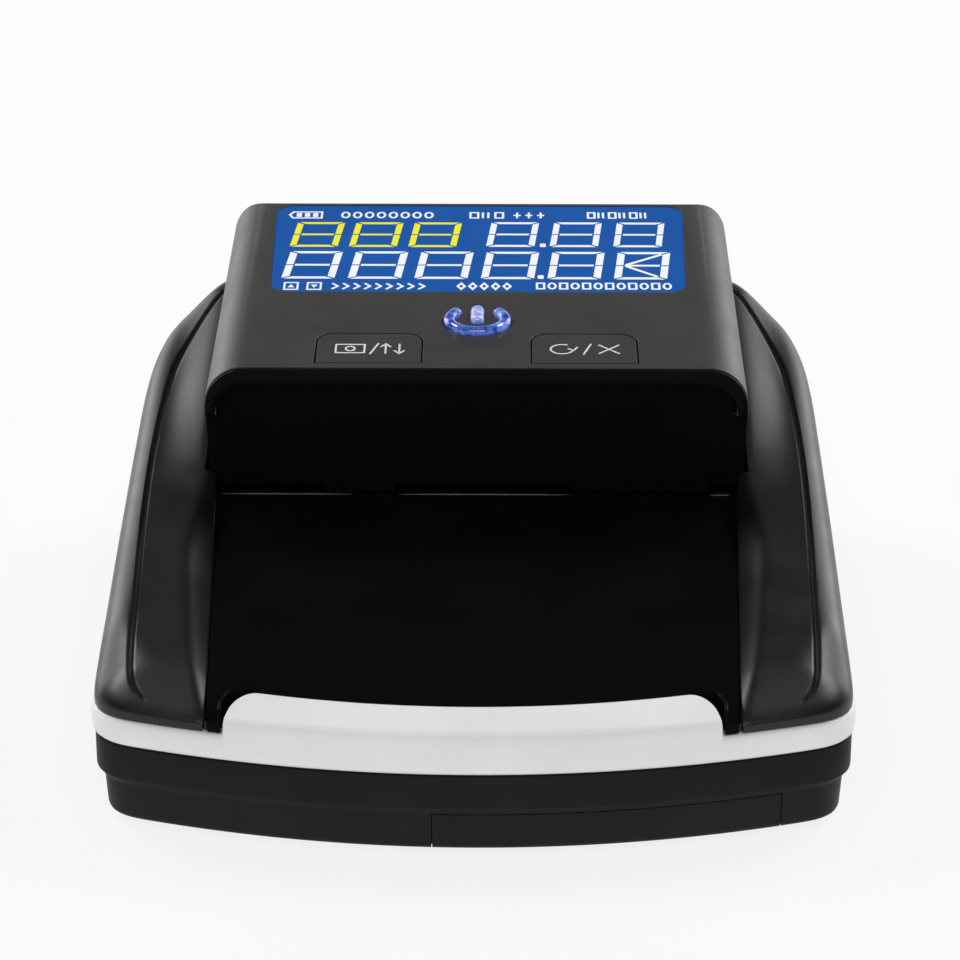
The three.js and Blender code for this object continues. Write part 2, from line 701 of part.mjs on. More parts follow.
function windowShape(grow) {
  const { half, start, end, round } = WINDOW;
  const radius = round + grow;
  const x = half - round;
  const shape = new THREE.Shape();
  shape.absarc(x, start + round, radius, -Math.PI / 2, 0, false);
  shape.absarc(x, end - round, radius, 0, Math.PI / 2, false);
  shape.absarc(-x, end - round, radius, Math.PI / 2, Math.PI, false);
  shape.absarc(-x, start + round, radius, Math.PI, 1.5 * Math.PI, false);
  return shape;
}

// The power symbol: an open ring with round ends, and a short bar in its opening.
function powerArc(grow) {
  const { centre, outer, inner, opening } = POWER;
  const middle = (outer + inner) / 2;
  const half = (outer - inner) / 2 + grow;
  const gap = THREE.MathUtils.degToRad(opening);
  const start = Math.PI / 2 + gap;
  const end = 2.5 * Math.PI - gap;
  const tip = (shape, angle, from) => {
    const x = middle * Math.cos(angle);
    const y = centre + middle * Math.sin(angle);
    shape.absarc(x, y, half, from, from + Math.PI, false);
  };
  const shape = new THREE.Shape();
  shape.absarc(0, centre, middle + half, start, end, false);
  tip(shape, end, end);
  shape.absarc(0, centre, middle - half, end, start, true);
  tip(shape, start, start + Math.PI);
  return shape;
}

function powerBar(grow) {
  const { half, start, end } = POWER_BAR;
  return headSection(half + grow, end + grow, start - grow, half);
}

function headCover() {
  const section = (half, top, bottom, round, front) => toSolid(onPanel(
    along(headSection(half, top, bottom, round), front, FAR, 5),
  ));
  const outer = section(HEAD_HALF, 0, -60, HEAD_ROUND, -20);
  const inner = section(HEAD_HALF - WALL, -WALL, -70, HEAD_ROUND - WALL, -40);
  const profile = toSolid(across(headProfile(), -FAR, FAR, 4));
  const hollow = inner.intersect(toSolid(block(-FAR, FAR, -FAR, HEAD_REAR - WALL, 0, FAR)));
  const keySpace = onPanel(plate(roundedKey(GAP), -5, 5, 3));
  const leftKeySpace = onPanel(plate(roundedKey(GAP), -5, 5, 3).translate(LEFT_KEY_SHIFT, 0, 0));
  const cutters = [
    onPanel(plate(windowShape(GAP), -1.4, 5)),
    onPanel(plate(windowShape(-2), -5, 5)),
    onPanel(plate(powerArc(GAP), -5, 5, 8)),
    onPanel(plate(powerBar(GAP), -5, 5, 3)),
    keySpace,
    leftKeySpace,
    moved(crossRod(HINGE_PIN + GAP, -FAR, FAR), 0, HINGE.y, HINGE.z),
  ];
  return toGeometry(without(outer.intersect(profile).subtract(hollow), cutters));
}

// The gloss front of the head: a thin arch under the cover's edge, and the face that leans back to the slot.
function headFascia() {
  const back = HEAD_FRONT.y - GAP;
  const front = back - 0.8;
  const half = HEAD_HALF - 0.1;
  const archBottom = HEAD_CHIN + GAP - HEAD_FRONT.z;
  const archOuter = along(headSection(half, -0.15, archBottom, HEAD_ROUND), front, back, 5);
  const archInner = along(headSection(half - 2.9, -3, archBottom - 9, HEAD_ROUND - 2), -FAR, FAR, 5);
  const arch = toSolid(moved(cut(archOuter, archInner), 0, 0, HEAD_FRONT.z));
  const faceTop = HEAD_FRONT.z - 2.3;
  const slotEdge = SLOT_Z + 2.1;
  const face = polygon([
    [back + 0.05, faceTop],
    [front + 0.2, faceTop],
    [SLOT_Y, slotEdge],
    [SLOT_Y + 1.9, slotEdge + 0.6],
    [back + 2, faceTop],
  ]);
  const insideSection = headSection(HEAD_HALF - WALL - GAP, -WALL - GAP, -40, HEAD_ROUND - WALL);
  const inside = along(insideSection, -FAR, FAR, 5).translate(0, 0, HEAD_FRONT.z);
  const belowChin = block(-FAR, FAR, -FAR, FAR, 0, HEAD_CHIN - GAP);
  const narrow = toSolid(across(face, -half, half)).intersect(toSolid(inside));
  const wide = toSolid(across(face, -half, half)).intersect(toSolid(belowChin));
  const tabs = [[-22, -14.5], [16.7, 41]].map(([left, right]) => toSolid(
    block(left, right, SLOT_Y + 0.1, SLOT_Y + 1.6, SLOT_Z + 0.6, slotEdge + 0.4),
  ));
  return toGeometry([narrow, wide, ...tabs].reduce((all, one) => all.add(one), arch));
}

function upperGuide() {
  const front = SLOT_Y + 2.7;
  const rear = HINGE.y - 2.5;
  const cutters = [pathOpening(SENSOR)];
  const ears = [];
  [FEED_Y, EXIT_Y].forEach((y) => {
    const z = idlerHeight(y);
    const { inner, outer, half, bore } = IDLER_EAR;
    ears.push(...mirroredBlocks(inner, outer, y - half, y + half, pathHeight(y) + 2.4, z + half));
    cutters.push(...rollerWindows(y, IDLER.length, 4.9, 20), moved(crossRod(bore, -50, 50), 0, y, z));
  });
  const slab = toSolid(across(pathSlab(front, rear, 1.8, 3.4), -44.6, 44.6));
  return toGeometry(without(ears.reduce((all, ear) => all.add(toSolid(ear)), slab), cutters));
}

function idlerHeight(y) {
  return pathHeight(y) + ROLLER_PROUD + GAP + IDLER.radius;
}

function keyCap() {
  const flange = block(KEY.inner - 1, KEY.outer + 1, KEY.start, KEY.end + 1, -3.3, -2.3);
  return toGeometry(union(plate(roundedKey(0), -2.4, 0, 3), flange));
}

function powerKey() {
  const base = rod(8, -3.3, -2.3, 24).translate(0, POWER.centre, 0);
  const top = POWER.rise;
  return toGeometry(union(base, plate(powerArc(0), -2.4, top, 8), plate(powerBar(0), -2.4, top, 3)));
}

// ---------- assembly ----------

const detector = new THREE.Group();

function add(name, geometry, look, parent = detector) {
  const mesh = new THREE.Mesh(geometry, look);
  mesh.name = name;
  parent.add(mesh);
  return mesh;
}

add('lower_case', lowerCase(), CASE_BLACK);
add('battery_door', batteryDoor(), CASE_BLACK);
add('trim_band', trimBand(), TRIM_WHITE);
add('upper_cover', upperCover(), SATIN_BLACK);
add('note_tray', noteTray(), GLOSS_BLACK);

const CORNER_NAMES = ['front_left', 'front_right', 'rear_left', 'rear_right'];

corners(FOOT.x, FOOT.front, FOOT.rear).forEach(([x, y], i) => {
  const foot = rod(FOOT.radius, 0, FOOT.height, 20);
  add(`rubber_foot_${CORNER_NAMES[i]}`, foot, RUBBER).position.set(x, y, 0);
});

corners(SCREW.x, SCREW.front, SCREW.rear).forEach(([x, y], i) => {
  const screw = toGeometry(union(rod(2.6, 1.7, 2.7, 12), rod(1.3, 2, 20, 8)));
  add(`case_screw_${CORNER_NAMES[i]}`, screw, STEEL).position.set(x, y, 0);
});

add('main_board', mainBoard(), BOARD_GREEN);
const batteryPack = block(PACK.left, PACK.right, PACK.front, PACK.rear, PACK.bottom, PACK.top);
add('battery_pack', batteryPack, PACK_BLUE);
add('drive_motor', driveMotor(), STEEL).position.set(0, MOTOR.y, MOTOR.z);
add('motor_bracket', motorBracket(), STEEL);
add('motor_pulley', motorPulley(), NYLON).position.set(0, MOTOR.y, MOTOR.z);
add('feed_belt', belt(FEED_BELT_X, FEED_Y), RUBBER);
add('exit_belt', belt(EXIT_BELT_X, EXIT_Y), RUBBER);
const speaker = rod(SPEAKER.radius, CASE_FLOOR + 0.4, SPEAKER.top, 24);
add('speaker', speaker, RUBBER).position.set(SPEAKER.x, SPEAKER.y, 0);
add('dc_jack', dcJack(), SATIN_BLACK);
add('update_port', updatePort(), STEEL);
add('encoder_sensor', encoderSensor(), SATIN_BLACK).position.set(ENCODER_X, EXIT_Y, 0);
const { half: magnetHalf, front: magnetFront, rear: magnetRear, bottom: magnetBottom } = MAGNET;
const magnetTop = pathHeight(magnetFront) - 0.1;
add('magnetic_head', block(-magnetHalf, magnetHalf, magnetFront, magnetRear, magnetBottom, magnetTop), STEEL);

// A strip of smoked glass in the note path, its lower face at the given height above it.
function sensorWindow(low) {
  return across(pathSlab(SENSOR.front, SENSOR.rear, low, low + SENSOR.thick), -SENSOR.half, SENSOR.half);
}

add('lower_sensor_window', sensorWindow(-1.4), SMOKED_GLASS);

// A roller set: its shaft with two rollers, held at its own height.
function rollerSet(name, y, z, shaft, { radius, length }, bore) {
  const axle = new THREE.Group();
  axle.position.set(0, y, z);
  detector.add(axle);
  add(`${name}_shaft`, shaft, STEEL, axle);
  add(`${name}_roller_left`, roller(radius, length, bore), RUBBER, axle).position.x = -ROLLER.x;
  add(`${name}_roller_right`, roller(radius, length, bore), RUBBER, axle).position.x = ROLLER.x;
  return axle;
}

const BORE = SHAFT_RADIUS + GAP;
const feedAxle = rollerSet('feed', FEED_Y, shaftHeight(FEED_Y), driveShaft(), ROLLER, BORE);
const exitAxle = rollerSet('exit', EXIT_Y, shaftHeight(EXIT_Y), driveShaft(), ROLLER, BORE);
add('feed_pulley', pulley(PULLEY_RADIUS, BORE, FEED_BELT_X - GAP), NYLON, feedAxle);
add('exit_pulley', pulley(PULLEY_RADIUS, BORE, EXIT_BELT_X - GAP), NYLON, exitAxle);
add('encoder_disc', encoderDisc(), SATIN_BLACK, exitAxle).position.x = ENCODER_X;

[['feed', feedAxle], ['exit', exitAxle]].forEach(([name, axle]) => {
  add(`${name}_bush_left`, tube(BORE, EAR.bore - GAP, -EAR.outer, -EAR.inner), BRONZE, axle);
  add(`${name}_bush_right`, tube(BORE, EAR.bore - GAP, EAR.inner, EAR.outer), BRONZE, axle);
});

const idlerShaft = () => crossRod(IDLER_EAR.bore - GAP, -44, 44, 12);
rollerSet('feed_idler', FEED_Y, idlerHeight(FEED_Y), idlerShaft(), IDLER, IDLER_EAR.bore);
rollerSet('exit_idler', EXIT_Y, idlerHeight(EXIT_Y), idlerShaft(), IDLER, IDLER_EAR.bore);

add('hinge_pin_left', crossRod(HINGE_PIN, -50.6, -44.9), STEEL).position.copy(HINGE);
add('hinge_pin_right', crossRod(HINGE_PIN, 44.9, 50.6), STEEL).position.copy(HINGE);
add('head_cover', headCover(), HEAD_GREY);
add('head_fascia', headFascia(), GLOSS_BLACK);
add('upper_guide', upperGuide(), GLOSS_BLACK);
add('upper_sensor_window', sensorWindow(2), SMOKED_GLASS);

const panel = new THREE.Group();
panel.position.copy(HEAD_FRONT);
panel.rotation.x = HEAD_TILT;
detector.add(panel);
add('display_window', plate(windowShape(0), -1.1, -0.1), SMOKED_GLASS, panel);
add('lcd_panel', block(-36.5, 36.5, 33.5, 71, -4.4, -2.4), DISPLAY_BLUE, panel);
add('display_board', block(-41, 41, 4, 72, -6.4, -4.8), BOARD_GREEN, panel);
add('power_key', powerKey(), CLEAR_BLUE, panel);
add('right_key', keyCap(), HEAD_GREY, panel);
add('left_key', keyCap(), HEAD_GREY, panel).position.x = LEFT_KEY_SHIFT;

export default detector;
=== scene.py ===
"""Looks of a counter-top counterfeit bill detector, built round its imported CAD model.

Lengths are millimetres in the CAD model's frame until a mesh is made: +Z up, +Y towards the back,
and the origin on the surface that the detector stands on, under its middle.
"""

import json
import math

import bmesh
import bpy
import numpy as np
from mathutils import Matrix, Vector


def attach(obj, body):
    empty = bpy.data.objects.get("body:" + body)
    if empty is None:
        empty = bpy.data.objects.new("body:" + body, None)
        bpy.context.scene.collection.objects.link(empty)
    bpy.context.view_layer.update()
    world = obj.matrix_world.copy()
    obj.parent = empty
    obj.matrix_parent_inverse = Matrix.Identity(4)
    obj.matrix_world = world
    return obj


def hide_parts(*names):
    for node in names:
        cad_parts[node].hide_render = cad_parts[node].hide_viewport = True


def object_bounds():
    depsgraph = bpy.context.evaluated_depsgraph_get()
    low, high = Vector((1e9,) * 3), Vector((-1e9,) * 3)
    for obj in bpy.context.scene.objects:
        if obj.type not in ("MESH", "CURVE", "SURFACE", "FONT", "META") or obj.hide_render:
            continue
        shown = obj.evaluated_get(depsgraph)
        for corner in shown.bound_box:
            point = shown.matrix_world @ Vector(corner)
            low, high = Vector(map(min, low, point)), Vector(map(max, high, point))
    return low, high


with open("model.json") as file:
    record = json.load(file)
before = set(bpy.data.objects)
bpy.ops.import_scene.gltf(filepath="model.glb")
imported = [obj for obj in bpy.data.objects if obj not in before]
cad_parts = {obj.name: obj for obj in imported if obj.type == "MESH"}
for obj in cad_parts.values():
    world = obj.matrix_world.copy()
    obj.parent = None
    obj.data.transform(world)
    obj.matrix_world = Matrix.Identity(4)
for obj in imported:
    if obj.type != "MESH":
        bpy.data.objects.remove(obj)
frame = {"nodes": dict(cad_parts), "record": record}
cad_low, cad_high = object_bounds()

# ---------- driving dimensions ----------

MM = 0.001
GAP = 0.3
FAR = 90.0  # beyond the whole object, for cutters
AXIS = 0.01  # radius of a turned part's end faces at their middle

HALF_WIDTH = cad_high.x / MM
HALF_LENGTH = cad_high.y / MM
FRONT_BOW = 10.0  # how far the front bows forward of its corners
BOW_HALF = 57.0
CORNER_START = 55.5  # x where the front corner starts
CORNER_END = -56.0  # y where the front corner ends
REAR_START = 28.0  # y where the sides start to turn in
REAR_FLAT = 45.0  # half-width of the nearly flat back
REAR_PULL = (HALF_WIDTH, 56.0)  # these two points draw the rear corner out
REAR_SWING = (59.5, 71.6)
BACK_BOW = 1.4
OUTLINE_STEP = 0.5

CASE_BOTTOM = 1.4
CASE_STEP = 8.2  # top of the set-back lower part of the case
CASE_WALL_Y = 66.0
BAND_BOTTOM = 15.8
BAND_TOP = 20.3
BAND_DEPTH = 3.0
COVER_INSET = 0.6
COVER_BASE = BAND_TOP + GAP
COVER_ROUND = 5.0
CROWN_Z = 37.18  # height of the cover's crown at y = 0
CROWN_SLOPE = 0.1638
CROWN_BEND = 0.0006
CROWN_RISE = 3.4  # how far it climbs towards the middle, behind the slot

LIP_HALF = 39.9
LIP_DEPTH = 7.6
LIP_FLARE = 0.7
LIP_CORNER = 3.5  # width of its rounded back corners
LIP_CORNER_START = 3.0  # how far back they start
LIP_BEND = 1.5  # depth of the bend between its face and its top
LIP_BEND_Z = 23.3
LIP_SLOPE = 0.207

SLOT_Y = 0.5
SLOT_Z = 32.5
TRAY_FRONT_Z = 24.0
TRAY_SLOPE = (SLOT_Z - TRAY_FRONT_Z) / (SLOT_Y + HALF_LENGTH - LIP_DEPTH)
PATH_SLOPE = 0.02
TRAY_HALF = 45.9
TRAY_TAPER = 0.047
TRAY_THICK = 1.8

BAY_HALF = 47.8
BAY_FRONT = -7.0
FLANK_STEP_Y = -0.6  # y where the cover's edge steps out from the tray to the bay under the head
BAY_REAR = 71.0
EXIT_Z = 33.6

HEAD_FRONT = Vector((0.0, -5.1, 58.7))
HEAD_TILT = math.radians(4.55)
HEAD_HALF = 47.2
HEAD_ROUND = 7.0
HEAD_REAR = 70.1
HEAD_SKIRT = 35.6
HEAD_CHIN = 49.8
HEAD_WALL = 2.0
ARCH_TOP = 3.0  # height of the gloss arch along the head's front edge
ARCH_LEG = 1.7  # width of its legs
HINGE = (66.0, 43.0)
HINGE_PIN = 1.5

WINDOW = {"half": 37.6, "start": 32.1, "end": 72.3, "round": 3.6, "flare": 0.0007}
KEY = {"inner": 9.7, "outer": 27.9, "start": 2.1, "end": 13.9, "round": 3.0}
KEY_GAP = 0.34
POWER_GAP = 0.15
POWER = {"centre": 19.2, "outer": 6.08, "inner": 3.84, "opening": 52.0, "rise": 1.2}
POWER_BAR = {"half": 1.25, "start": 18.2, "end": 24.4}

FEED_Y = 8.0
EXIT_Y = 56.0
ROLLER_X = 22.0
ROLLER = {"radius": 9.0, "length": 10.0, "bore": 2.3}
IDLER = {"radius": 5.0, "length": 8.0, "bore": 1.8}
ROLLER_PROUD = 0.5
BELT_WIDTH = 2.5
EAR = {"inner": 42.5, "outer": 45.5, "half": 5.5, "bore": 4.1}
SENSOR = {"half": 36.0, "front": 28.0, "rear": 38.0}
MAGNET = {"half": 10.0, "front": 17.0, "rear": 23.0}

SEAM = 0.14  # visible gap round the door
SEAM_DEPTH = 0.4
DOOR = {"left": -6.5, "right": 50.0, "rear": -38.0, "top": 8.0}
FOOT = {"radius": 5.0, "height": 2.1, "x": 50.0, "front": -32.0, "rear": 54.0}
SCREW = {"x": 54.0, "front": -54.0, "rear": 40.0}
JACK = {"x": 35.0, "z": 9.9, "half": 5.6, "rise": 5.4}
PORT = {"x": -34.0, "z": 9.5, "half": 6.6, "rise": 2.8}
SPEAKER = {"x": -38.0, "y": 34.0, "radius": 8.0, "pitch": 2.2}


# ---------- meshes ----------


def new_object(name, points, faces, smooth=35.0):
    """An object from points in millimetres, its faces turned outwards and its gentle edges smooth."""
    mesh = bpy.data.meshes.new(name)
    mesh.from_pydata([tuple(float(c) * MM for c in p) for p in points], [], faces)
    obj = bpy.data.objects.new(name, mesh)
    bpy.context.scene.collection.objects.link(obj)
    tidy(obj, smooth)
    return obj


def tidy(obj, smooth=35.0):
    """Welds double points, turns faces outwards, and shades edges flatter than the angle as smooth."""
    work = bmesh.new()
    work.from_mesh(obj.data)
    bmesh.ops.remove_doubles(work, verts=work.verts, dist=1e-6)
    bmesh.ops.dissolve_degenerate(work, dist=1e-7, edges=work.edges)
    bmesh.ops.recalc_face_normals(work, faces=work.faces)
    for face in work.faces:
        face.smooth = True
    work.to_mesh(obj.data)
    work.free()
    obj.data.set_sharp_from_angle(angle=math.radians(smooth))
    return obj


def bake(obj):
    """Applies an object's modifiers to its mesh."""
    depsgraph = bpy.context.evaluated_depsgraph_get()
    made = bpy.data.meshes.new_from_object(obj.evaluated_get(depsgraph))
    obj.modifiers.clear()
    obj.data = made
    return obj


def combine(base, tools, operation="DIFFERENCE"):
    """Cuts, joins or crosses one solid with others, which are used up."""
    for tool in tools:
        modifier = base.modifiers.new("combine", "BOOLEAN")
        modifier.operation = operation
        modifier.solver = "EXACT"
        modifier.object = tool
        bake(base)
        bpy.data.objects.remove(tool)
    return tidy(base)


def join(name, parts):
    """One object from several closed ones."""
    work = bmesh.new()
    for part in parts:
        work.from_mesh(part.data)
        bpy.data.objects.remove(part)
    mesh = bpy.data.meshes.new(name)
    work.to_mesh(mesh)
    work.free()
    obj = bpy.data.objects.new(name, mesh)
    bpy.context.scene.collection.objects.link(obj)
    return tidy(obj)


def soften(obj, width, segments=2, angle=35.0):
    """Rounds an object's sharp edges a little, so that they catch the light."""
    bevel = obj.modifiers.new("edges", "BEVEL")
    bevel.width = width * MM
    bevel.segments = segments
    bevel.limit_method = "ANGLE"
    bevel.angle_limit = math.radians(angle)
    bevel.harden_normals = True
    bevel.use_clamp_overlap = True
    return obj


def grid_faces(rows, columns, wrap_rows=False, wrap_columns=False):
    """Quads between neighbouring points of a grid stored row by row."""
    faces = []
    for i in range(rows if wrap_rows else rows - 1):
        for j in range(columns if wrap_columns else columns - 1):
            a = i * columns + j
            b = i * columns + (j + 1) % columns
            c = ((i + 1) % rows) * columns + (j + 1) % columns
            d = ((i + 1) % rows) * columns + j
            faces.append((a, b, c, d))
    return faces


def skin(name, rows, closed=False, smooth=35.0):
    """A solid skinned over equal closed sections; it is capped at both ends unless the sections close."""
    count = len(rows[0])
    points = [p for row in rows for p in row]
    faces = grid_faces(len(rows), count, wrap_rows=closed, wrap_columns=True)
    if not closed:
        last = (len(rows) - 1) * count
        faces.append(tuple(range(count)))
        faces.append(tuple(last + i for i in range(count)))
    return new_object(name, points, faces, smooth)


def shell(name, top, bottom, smooth=35.0):
    """A solid between two grids of the same size, closed round its edge."""
    rows, columns = len(top), len(top[0])
    points = [p for row in top for p in row] + [p for row in bottom for p in row]
    size = rows * columns
    faces = grid_faces(rows, columns)
    faces += [tuple(size + i for i in face) for face in grid_faces(rows, columns)]
    rim = list(range(columns))
    rim += [i * columns + columns - 1 for i in range(1, rows)]
    rim += [(rows - 1) * columns + j for j in range(columns - 2, -1, -1)]
    rim += [i * columns for i in range(rows - 2, 0, -1)]
    for a, b in zip(rim, rim[1:] + rim[:1]):
        faces.append((a, b, size + b, size + a))
    return new_object(name, points, faces, smooth)


PLAN = Matrix.Identity(4)
SIDE = Matrix(((0, 0, 1, 0), (1, 0, 0, 0), (0, 1, 0, 0), (0, 0, 0, 1)))  # drawn in Y and Z, carried along X
FRONT = Matrix(((1, 0, 0, 0), (0, 0, 1, 0), (0, 1, 0, 0), (0, 0, 0, 1)))  # drawn in X and Z, carried along Y
PANEL = Matrix.Translation(HEAD_FRONT) @ Matrix.Rotation(HEAD_TILT, 4, "X")  # on the head's sloping top
PANEL_FRONT = PANEL @ FRONT


def placed(points, matrix):
    return [matrix @ Vector(p) for p in points]


def prism(name, outline, low, high, matrix=PLAN, smooth=35.0):
    """A flat outline carried from one height to another, in the given drawing frame."""
    ends = [placed([(u, v, w) for u, v in outline], matrix) for w in (low, high)]
    return skin(name, ends, smooth=smooth)


def block(name, x0, x1, y0, y1, z0, z1):
    return prism(name, [(x0, y0), (x1, y0), (x1, y1), (x0, y1)], z0, z1)


def arc(centre, radius, start, end, steps):
    """Points round a centre from one angle to another, in degrees."""
    angles = np.radians(np.linspace(start, end, steps + 1))
    return [(centre[0] + radius * math.cos(a), centre[1] + radius * math.sin(a)) for a in angles]


def rod(name, radius, low, high, centre=(0.0, 0.0), matrix=PLAN, sides=48):
    return prism(name, arc(centre, radius, 0, 360 - 360 / sides, sides - 1), low, high, matrix)


def lathe(name, profile, centre, sides=64, axis="X"):
    """A body of revolution: a closed list of radius and place along the axis, turned about it."""
    rows = []
    for i in range(sides):
        a = 2 * math.pi * i / sides
        if axis == "X":
            row = [(along, r * math.cos(a), r * math.sin(a)) for r, along in profile]
        else:
            row = [(r * math.cos(a), r * math.sin(a), along) for r, along in profile]
        rows.append([tuple(p + c for p, c in zip(point, centre)) for point in row])
    return skin(name, rows, closed=True, smooth=40.0)


def tube(name, path, radii, sides=12, squash=1.0):
    """A round or flattened bar along a path, closed with rounded ends by its own radii."""
    path = [Vector(p) for p in path]
    up = Vector((0.0, 0.0, 1.0))
    rows = []
    for i, point in enumerate(path):
        ahead = path[min(i + 1, len(path) - 1)] - path[max(i - 1, 0)]
        across = ahead.cross(up).normalized()
        above = across.cross(ahead).normalized()
        rows.append([
            point + across * radii[i] * math.cos(a) + above * radii[i] * squash * math.sin(a)
            for a in (2 * math.pi * k / sides for k in range(sides))
        ])
    return skin(name, rows, smooth=60.0)


# ---------- plan of the object and height of its surfaces ----------


def bezier(points, steps):
    t = np.linspace(0, 1, steps + 1)[:, None]
    level = [np.array(p, float)[None, :] for p in points]
    while len(level) > 1:
        level = [a * (1 - t) + b * t for a, b in zip(level, level[1:])]
    return level[0]


def front_y(x):
    return -HALF_LENGTH + FRONT_BOW * (x / BOW_HALF) ** 2


def resampled(path, step):
    """The same line with even steps."""
    lengths = np.concatenate([[0], np.cumsum(np.hypot(*np.diff(path, axis=0).T))])
    places = np.linspace(0, lengths[-1], int(round(lengths[-1] / step)) + 1)
    return np.stack([np.interp(places, lengths, path[:, k]) for k in (0, 1)], axis=1)


def right_outline():
    """The right half of the plan, from the middle of the front round to the middle of the back."""
    corner = (CORNER_START, front_y(CORNER_START))
    slope = 2 * FRONT_BOW * CORNER_START / BOW_HALF**2
    tip = (HALF_WIDTH, corner[1] + slope * (HALF_WIDTH - CORNER_START))
    rear = (REAR_FLAT, HALF_LENGTH - BACK_BOW)
    curves = [
        [(0, -HALF_LENGTH), (CORNER_START / 2, -HALF_LENGTH), corner],
        [corner, tip, (HALF_WIDTH, CORNER_END)],
        [(HALF_WIDTH, CORNER_END), (HALF_WIDTH, REAR_START)],
        [(HALF_WIDTH, REAR_START), REAR_PULL, REAR_SWING, rear],
        [rear, (REAR_FLAT / 2, HALF_LENGTH), (0, HALF_LENGTH)],
    ]
    pieces = [bezier(curve, 60)[:-1] for curve in curves]
    path = resampled(np.concatenate(pieces + [[(0, HALF_LENGTH)]]), OUTLINE_STEP)
    for _ in range(10):  # eases the joins between the curves
        path[1:-1] = (path[:-2] + 2 * path[1:-1] + path[2:]) / 4
    return path


OUTLINE = right_outline()
AHEAD = np.gradient(OUTLINE, axis=0)
INWARD = np.stack([-AHEAD[:, 1], AHEAD[:, 0]], axis=1) / np.hypot(*AHEAD.T)[:, None]
INWARD[0] = (0, 1)
INWARD[-1] = (0, -1)
ARC = np.arange(len(OUTLINE)) * OUTLINE_STEP


def edge_point(place, inset=0.0):
    """A point at a distance along the outline, moved inwards."""
    point = [np.interp(place, ARC, OUTLINE[:, k]) for k in (0, 1)]
    inward = [np.interp(place, ARC, INWARD[:, k]) for k in (0, 1)]
    return point[0] + inset * inward[0], point[1] + inset * inward[1]


def place_at_x(x):
    """Distance along the outline where its front reaches x."""
    front = OUTLINE[:, 1] < CORNER_END
    return float(np.interp(x, OUTLINE[front, 0], ARC[front]))


def place_at_y(y):
    """Distance along the outline where its side or back reaches y."""
    side = OUTLINE[:, 0] > REAR_FLAT - 12
    side &= OUTLINE[:, 1] > CORNER_END - 1
    return float(np.interp(y, OUTLINE[side, 1], ARC[side]))


def distance_to(path, points):
    """Distance from each point to a line made of straight pieces."""
    best = np.full(len(points), np.inf)
    for start, step in zip(path[:-1], np.diff(path, axis=0)):
        t = np.clip((points - start) @ step / (step @ step), 0, 1)
        best = np.minimum(best, np.hypot(*(points - start - t[:, None] * step).T))
    return best


def smooth_step(value, low, high):
    t = np.clip((value - low) / (high - low), 0, 1)
    return t * t * (3 - 2 * t)


def crown_height(x, y):
    """Height of the cover's crown: it climbs towards the back and, behind the slot, towards the middle."""
    ridge = CROWN_Z + CROWN_SLOPE * y - CROWN_BEND * y * y
    rise = CROWN_RISE * smooth_step(y, -12, 30)
    return ridge + rise * smooth_step(-np.abs(x), -BOW_HALF, 9 - BOW_HALF)


def path_height(y):
    """Height of the note path: it climbs to the slot, and is nearly level under the head."""
    return SLOT_Z + np.where(y < SLOT_Y, TRAY_SLOPE, PATH_SLOPE) * (y - SLOT_Y)


def tray_half(y):
    return TRAY_HALF + TRAY_TAPER * (y - SLOT_Y)


def lip_rear(x):
    return front_y(x) + LIP_DEPTH + LIP_FLARE * (x / LIP_HALF) ** 2


def lip_depth(x, grow=0.0):
    """Depth of the trim's raised middle at x, with its rounded back corners."""
    half = LIP_HALF + grow
    shoulder = half - LIP_CORNER
    full = lip_rear(min(abs(x), shoulder)) - front_y(min(abs(x), shoulder)) + grow
    if abs(x) <= shoulder:
        return full
    across = min(1.0, (abs(x) - shoulder) / LIP_CORNER)
    return LIP_CORNER_START + (full - LIP_CORNER_START) * math.sqrt(max(0.0, 1 - across * across))


def lip_corner_places(shoulder, step, end=91):
    """Places across the lip's rounded back corner, closer together towards its side."""
    return [shoulder + LIP_CORNER * math.sin(math.radians(a)) for a in range(0, end, step)]


def round_drop(radius, reach):
    """How far a rounded edge lies below its surface at a distance behind its front."""
    return radius - math.sqrt(max(0.0, radius**2 - max(0.0, radius - reach) ** 2))


def lip_height(depth):
    """Height of the lip's face and top at a distance behind its front."""
    if depth >= LIP_BEND:
        return LIP_BEND_Z + LIP_SLOPE * (depth - LIP_BEND)
    share = 1 - depth / LIP_BEND
    return LIP_BEND_Z - 2.2 * (1 - math.sqrt(1 - share * share))


# ---------- the cover ----------

GROOVE_POINTS = [
    (44.5, -67.2), (48.0, -66.3), (51.3, -64.8), (53.0, -63.4), (54.5, -61.8), (55.6, -58.8), (56.1, -52),
    (56.5, -42), (57.1, -26), (57.6, -8), (57.7, 8), (57.3, 24), (56.4, 37.5), (54.5, 47.5), (51.4, 58),
    (48.6, 64.5), (46.0, 68.8),
]
GROOVE_HALF = 0.62
GROOVE_DEPTH = 0.75
GROOVE_TAIL_START = 22  # index along the groove's smooth line where it starts to sink in
GROOVE_TAIL = 6.0  # length over which it sinks in
SHELL = 1.6
FLANK_STEP = 0.9
FRONT_REACH = 15.0  # how far back from the front edge the cover starts to bend down
FRONT_SWELL = 0.9  # extra height of the cover just behind that bend
REAR_RAMP_SHIFT = 21.0  # the flank's inner slope moves in by this, out of sight under the head
RAMP_RUN = 1.32  # width of the flank's inner slope for each millimetre that it climbs
RAMP_LEAST = 1.2
FLANK_ROUND_COLUMNS = 9
FLANK_INNER_COLUMNS = 18


